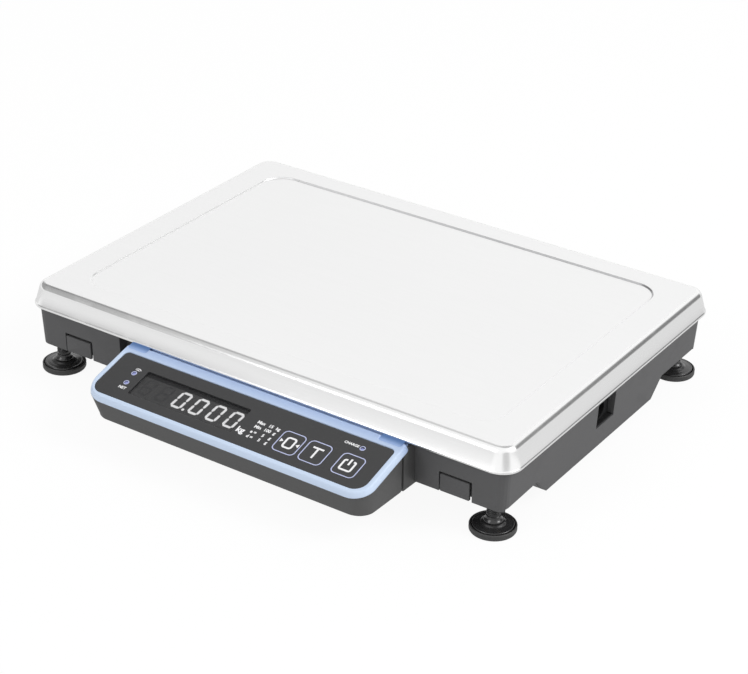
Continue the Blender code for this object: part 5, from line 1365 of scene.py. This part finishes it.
# %% Cross-recess screws
def build_small_screw(head, shank, height, length):
    """A pan-head screw, head down, with a cross recess. Its seat is at height 0."""
    bm = bmesh.new()
    lathe(bm, [(0.0, -height), (head * 0.55, -height), (head * 0.86, -height * 0.86),
               (head, -height * 0.45), (head, -0.05), (head * 0.95, 0.0), (shank, 0.0),
               (shank, length - 0.6), (shank * 0.3, length), (0.0, length)], 40)
    blades = []
    for turn in (0.0, 90.0):
        blade = bmesh.new()
        reach, half = head * 0.5, head * 0.11
        mouth = rounded_outline((-reach, -half), (reach, half), half * 0.5, half * 0.5, 2)
        floor = rounded_outline((-reach * 0.55, -half * 0.8), (reach * 0.55, half * 0.8),
                                half * 0.4, half * 0.4, 2)
        skin(blade, [ring(blade, mouth, -height - 0.2), ring(blade, mouth, -height + 0.05),
                     ring(blade, floor, -height * 0.35)], True, True)
        blades.append(to_mesh("blade", blade, Matrix.Rotation(math.radians(turn), 4, "Z")))
    return cut_away(to_mesh("small_screw", bm), *blades)


print("cross-recess screw ready")

# %% Place the screws
COVER_SCREWS = [(x, y) for x in (-95.0, 0.0, 95.0) for y in (-60.552, 95.648)]
COVER_UNDER = 18.3
cover_screw = build_small_screw(3.0, 1.45, 1.5, 9.0)
head_screw = build_small_screw(2.4, 1.25, 1.5, 7.0)
for kind, places, seat, mesh, turn in (
        ("cover_screw", COVER_SCREWS, COVER_UNDER, cover_screw, 23.0),
        ("head_screw", HEAD_SCREWS, HEAD_SINK, head_screw, 41.0)):
    for index, (x, y) in enumerate(places):
        spot = (Matrix.Translation((x * MM, y * MM, seat * MM))
                @ Matrix.Rotation(math.radians(turn * index), 4, "Z"))
        put(f"{kind}_{index + 1}", mesh, "zinc_steel", place=spot)
print("small screws:", len(COVER_SCREWS) + len(HEAD_SCREWS))

# %% [markdown]
# ## Blanking covers
# Two snap-in covers close the openings in the front wall. Each is a little smaller than its
# opening and has rounded edges, so grooves stay open round it and show as dark lines. Both have a
# wide groove at the right. The left cover sits close at its left side and a little low, and the
# right one has a narrow groove there.

# %% Blanking covers
COVER_X, COVER_HALF, COVER_LOW = 131.99, 10.01, 16.9
COVER_LEAN, COVER_THICK, COVER_EDGE = 0.046, 1.5, 0.25
WIDE_GROOVE = 1.25
NARROW_GROOVE, COVER_TOP = {-1: 0.04, 1: 0.25}, {-1: 27.55, 1: 27.9}
WEB_HALF, WEB_LOW, WEB_TOP, WEB_DEPTH = 5.0, 19.4, 26.4, 2.95
HOLD_HALF, HOLD_LOW, HOLD_TOP, HOLD_DEPTH = 12.8, 18.1, 27.7, 4.2


def build_cover(side, name):
    """A thin plate that leans with the wall, rounded edges, and a bar that holds it inside."""
    low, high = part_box(name)
    face, top = low.y / MM, high.z / MM
    middle = COVER_X * side
    left = middle - COVER_HALF + NARROW_GROOVE[side]
    right = middle + COVER_HALF - WIDE_GROOVE
    bm = bmesh.new()

    def leaning(outline, depth):
        return [bm.verts.new((x, face + (top - z) * COVER_LEAN + depth, z)) for x, z in outline]

    skin(bm, [leaning(rounded_outline((left + inset, COVER_LOW + inset),
                                      (right - inset, COVER_TOP[side] - inset), 0.5, 0.5, 4),
                      depth)
              for depth, inset in ((COVER_THICK, 0.0), (COVER_EDGE, 0.0), (0.08, 0.08),
                                   (0.0, COVER_EDGE))], True, True)
    web = rounded_outline((middle - WEB_HALF, WEB_LOW), (middle + WEB_HALF, WEB_TOP), 0.4, 0.4, 3)
    skin(bm, [leaning(web, WEB_DEPTH), leaning(web, COVER_THICK)], True, True)
    hold = rounded_outline((middle - HOLD_HALF, HOLD_LOW), (middle + HOLD_HALF, HOLD_TOP),
                           0.6, 0.6, 3)
    skin(bm, [leaning(hold, HOLD_DEPTH), leaning(hold, WEB_DEPTH)], True, True)
    return to_mesh(f"blank_cover_{side}", bm)


for side, label in ((-1, "left"), (1, "right")):
    put(f"blank_cover_{label}", build_cover(side, f"blanking_cover_{label}"), "base_plastic",
        stands_for=[f"blanking_cover_{label}"])
print("blanking covers: 2")

# %% [markdown]
# ## The power socket
# A barrel socket is a plastic block with a spring sleeve round its bore and a pin in the middle.
# Only the sleeve's rim and the pin's tip catch the light, but without them the hole looks blank.
# A black shroud with the plug's bore in it fills the well up to a few millimetres below the wall,
# and a lip lies along the well's foot.

# %% Socket
SOCKET = Matrix.Translation((0.0, 19.348, 27.22)) @ Matrix.Rotation(math.radians(90.0), 4, "Y")
SLEEVE_PROFILE = [(2.95, 145.2), (2.95, 147.9), (2.8, 147.95), (2.65, 147.8), (2.65, 145.2)]
PIN_PROFILE = [(0.0, 144.95), (1.04, 144.95), (1.04, 146.2), (0.9, 146.6), (0.5, 146.85),
               (0.0, 146.9)]
SHROUD_LOW, SHROUD_TOP, BORE = 147.2, 158.8, 5.2
put("socket_sleeve", lathed("socket_sleeve", SLEEVE_PROFILE, 40, matrix=SOCKET), "zinc_steel")
put("socket_pin_tip", lathed("socket_pin_tip", PIN_PROFILE, 28, matrix=SOCKET), "brass")
shroud = pierced_sheet("socket_shroud", keyed(-1.28, 0.0, 7.85, 10.1, 0.6),
                       [circle(0.0, 0.0, BORE, 40)], SHROUD_LOW, SHROUD_TOP, 0.35, SOCKET)
put("socket_shroud", shroud, "socket_black", slot="glossy_black")
lip = rounded_outline((SHROUD_TOP - 0.5, 9.3), (161.6, 29.4), 0.5, 0.5, 4)
put("socket_lip", pulled_up("socket_lip", lip, 20.62, 21.3), "socket_black", slot="glossy_black")
print("socket sleeve, pin, shroud and lip made")

# %% [markdown]
# ## The bubble level
# Under the platter a round level shows when the scale stands true. The liquid is a pale green disc
# with a domed top, the bubble is a small clear lens in it, and a black ring marks the middle.

# %% Bubble level
LEVEL_X, LEVEL_Y = -118.0, 58.548
POOL_PROFILE = [(0.0, 45.25), (1.6, 45.29), (3.2, 45.3), (5.0, 45.27), (6.6, 45.24), (6.9, 45.22),
                (6.9, 45.21), (0.0, 45.21)]
BUBBLE_PROFILE = [(0.0, 45.42), (0.9, 45.40), (1.6, 45.36), (2.0, 45.31), (0.0, 45.30)]
pool = lathed("level_pool", POOL_PROFILE, 48, (LEVEL_X, LEVEL_Y))
bubble = lathed("level_bubble", BUBBLE_PROFILE, 32, (LEVEL_X + 0.4, LEVEL_Y - 0.3))
put("level_pool", pool, "level_liquid", slot="clear_acrylic")
put("level_bubble", bubble, "clear_acrylic")
bm = bmesh.new()
ribbon(bm, circle(LEVEL_X, LEVEL_Y, 2.9, 48), 0.3, 45.33, 45.36, True)
put("level_ring", to_mesh("level_ring", bm), "level_mark", slot="black_rubber")
print("bubble level filled")

# %% [markdown]
# ## The studio
# The picture has a white ground and no hard light. The world is white for the camera and for
# mirror rays, apart from five soft dark cards and a curtain that the polished edges pick up, as
# photographers use to draw an edge on shiny metal. Diffuse rays get a plain level, so colours
# render as written.

# %% World
WHITE = (1.0, 1.0, 1.0, 1.0)
DIFFUSE_LEVEL = 0.55
# A card is (direction, angle of its core, angle of its rim, how much it darkens).
CARDS = [((-0.50, 0.33, 0.80), 10.0, 21.0, 0.36), ((0.50, 0.79, 0.32), 10.0, 25.0, 0.80),
         ((-0.62, -0.78, -0.04), 14.0, 32.0, 0.15), ((0.80, -0.58, 0.10), 8.0, 26.0, 0.38),
         ((-0.05, 0.40, 0.92), 8.0, 20.0, 0.6)]
# The curtain hangs beyond this x, above this z and in front of this y, each (from, full).
CURTAIN, CURTAIN_SIDE, CURTAIN_FOOT, CURTAIN_END = 0.66, (-0.48, -0.60), (0.12, 0.30), (0.56, 0.42)


def make_world():
    """White surroundings with dark cards and a curtain for mirror rays."""
    world = bpy.data.worlds.new("studio")
    bpy.context.scene.world = world
    world.use_nodes = True
    tree = world.node_tree
    tree.nodes.clear()
    towards = node(tree, "ShaderNodeTexCoord").outputs["Generated"]
    light = 1.0
    for direction, core, rim, depth in CARDS:
        unit = Vector(direction).normalized()
        match = node(tree, "ShaderNodeVectorMath", {0: towards, 1: unit},
                     operation="DOT_PRODUCT").outputs["Value"]
        left = ranged(tree, match, math.cos(math.radians(rim)), math.cos(math.radians(core)),
                      1.0, 1.0 - depth, smooth=True)
        light = times(tree, light, left)
    x, y, z = parts_of(tree, towards)
    hung = times(tree, ranged(tree, x, *CURTAIN_SIDE, 0.0, CURTAIN),
                 times(tree, ranged(tree, z, *CURTAIN_FOOT, 0.0, 1.0, smooth=True),
                       ranged(tree, y, *CURTAIN_END, 0.0, 1.0)))
    light = times(tree, light, sums(tree, "SUBTRACT", 1.0, hung))
    rays = node(tree, "ShaderNodeLightPath").outputs
    plain = sums(tree, "MAXIMUM", rays["Is Camera Ray"], rays["Is Transmission Ray"])
    mirror = rays["Is Glossy Ray"]
    level = sums(tree, "MAXIMUM", plain, times(tree, mirror, light))
    seen = sums(tree, "MAXIMUM", plain, mirror)
    strength = sums(tree, "ADD", times(tree, seen, level),
                    times(tree, sums(tree, "SUBTRACT", 1.0, seen), DIFFUSE_LEVEL))
    background = node(tree, "ShaderNodeBackground", {"Color": WHITE, "Strength": strength})
    end = node(tree, "ShaderNodeOutputWorld")
    tree.links.new(background.outputs[0], end.inputs[0])


make_world()
print("world with", len(CARDS), "dark cards and a curtain")

# %% [markdown]
# ### Floor
# The floor is white to the eye, like the ground of a catalogue picture. For the camera and for
# mirrors most of its white is glow and only a small share is lit, so the shadow under the scale is
# there but stays faint. For all other rays it is an ordinary pale floor that sends light back up.
# Its underside is clear, so the scale can also be looked at from below.

# %% Floor
FLOOR_HALF, FLOOR_LEVEL = 8000.0, -0.2
FLOOR_GLOW, FLOOR_LIT, FLOOR_MIRRORED = 0.93, 0.08, 0.68


def make_floor():
    """A large pale floor just under the soles."""
    bm = bmesh.new()
    bm.faces.new([bm.verts.new((x * FLOOR_HALF, y * FLOOR_HALF, 0.0))
                  for x, y in ((-1, -1), (1, -1), (1, 1), (-1, 1))])
    mesh = bpy.data.meshes.new("floor")
    bm.to_mesh(mesh)
    bm.free()
    mesh.transform(Matrix.Scale(MM, 4))
    floor = link("floor", mesh)
    floor.location.z = FLOOR_LEVEL * MM
    finish = bpy.data.materials.new("floor_paper")
    finish.use_nodes = True
    tree = finish.node_tree
    tree.nodes.clear()
    speck = cloud(tree, place_of(tree), 60.0, 2.0)
    paper = blended(tree, speck, (0.79, 0.79, 0.79, 1.0), (0.81, 0.81, 0.81, 1.0))
    matte = node(tree, "ShaderNodeBsdfDiffuse", {"Color": paper})
    faint = node(tree, "ShaderNodeBsdfDiffuse", {"Color": (FLOOR_LIT,) * 3 + (1.0,)})
    rays = node(tree, "ShaderNodeLightPath").outputs
    strength = sums(tree, "MULTIPLY_ADD", rays["Is Glossy Ray"], FLOOR_MIRRORED - FLOOR_GLOW,
                    FLOOR_GLOW)
    glow = node(tree, "ShaderNodeEmission", {"Color": WHITE, "Strength": strength})
    white = node(tree, "ShaderNodeAddShader", {0: faint.outputs[0], 1: glow.outputs[0]})
    seen = sums(tree, "MAXIMUM", rays["Is Camera Ray"],
                sums(tree, "MAXIMUM", rays["Is Glossy Ray"], rays["Is Transmission Ray"]))
    mixed = node(tree, "ShaderNodeMixShader",
                 {0: seen, 1: matte.outputs[0], 2: white.outputs[0]})
    under = node(tree, "ShaderNodeNewGeometry").outputs["Backfacing"]
    clear = node(tree, "ShaderNodeBsdfTransparent")
    open_below = node(tree, "ShaderNodeMixShader",
                      {0: under, 1: mixed.outputs[0], 2: clear.outputs[0]})
    end = node(tree, "ShaderNodeOutputMaterial")
    tree.links.new(open_below.outputs[0], end.inputs[0])
    mesh.materials.append(finish)


make_floor()
print("floor laid at", FLOOR_LEVEL, "mm")

# %% [markdown]
# ### Lamps
# Two large area lamps give the walls a little shape. A lamp's power is worked out from the level
# it should add on a face that looks at it, so it is easy to keep the whole studio plain.

# %% Lamps
def soft_lamp(name, place, size, level):
    """A square area lamp aimed at the scale that adds this level to a facing surface."""
    lamp = bpy.data.lights.new(name, "AREA")
    lamp.shape, lamp.size = "SQUARE", size
    lamp.energy = level * math.pi ** 2 * Vector(place).length_squared
    holder = link(name, lamp)
    holder.location = place
    holder.rotation_euler = (-Vector(place)).to_track_quat("-Z", "Y").to_euler()


soft_lamp("key_lamp", (2.1, 0.6, 1.9), 1.2, 0.41)
soft_lamp("fill_lamp", (-0.83, -2.35, 1.62), 1.0, 0.17)

bpy.context.scene.view_settings.view_transform = "Standard"
print("studio ready")
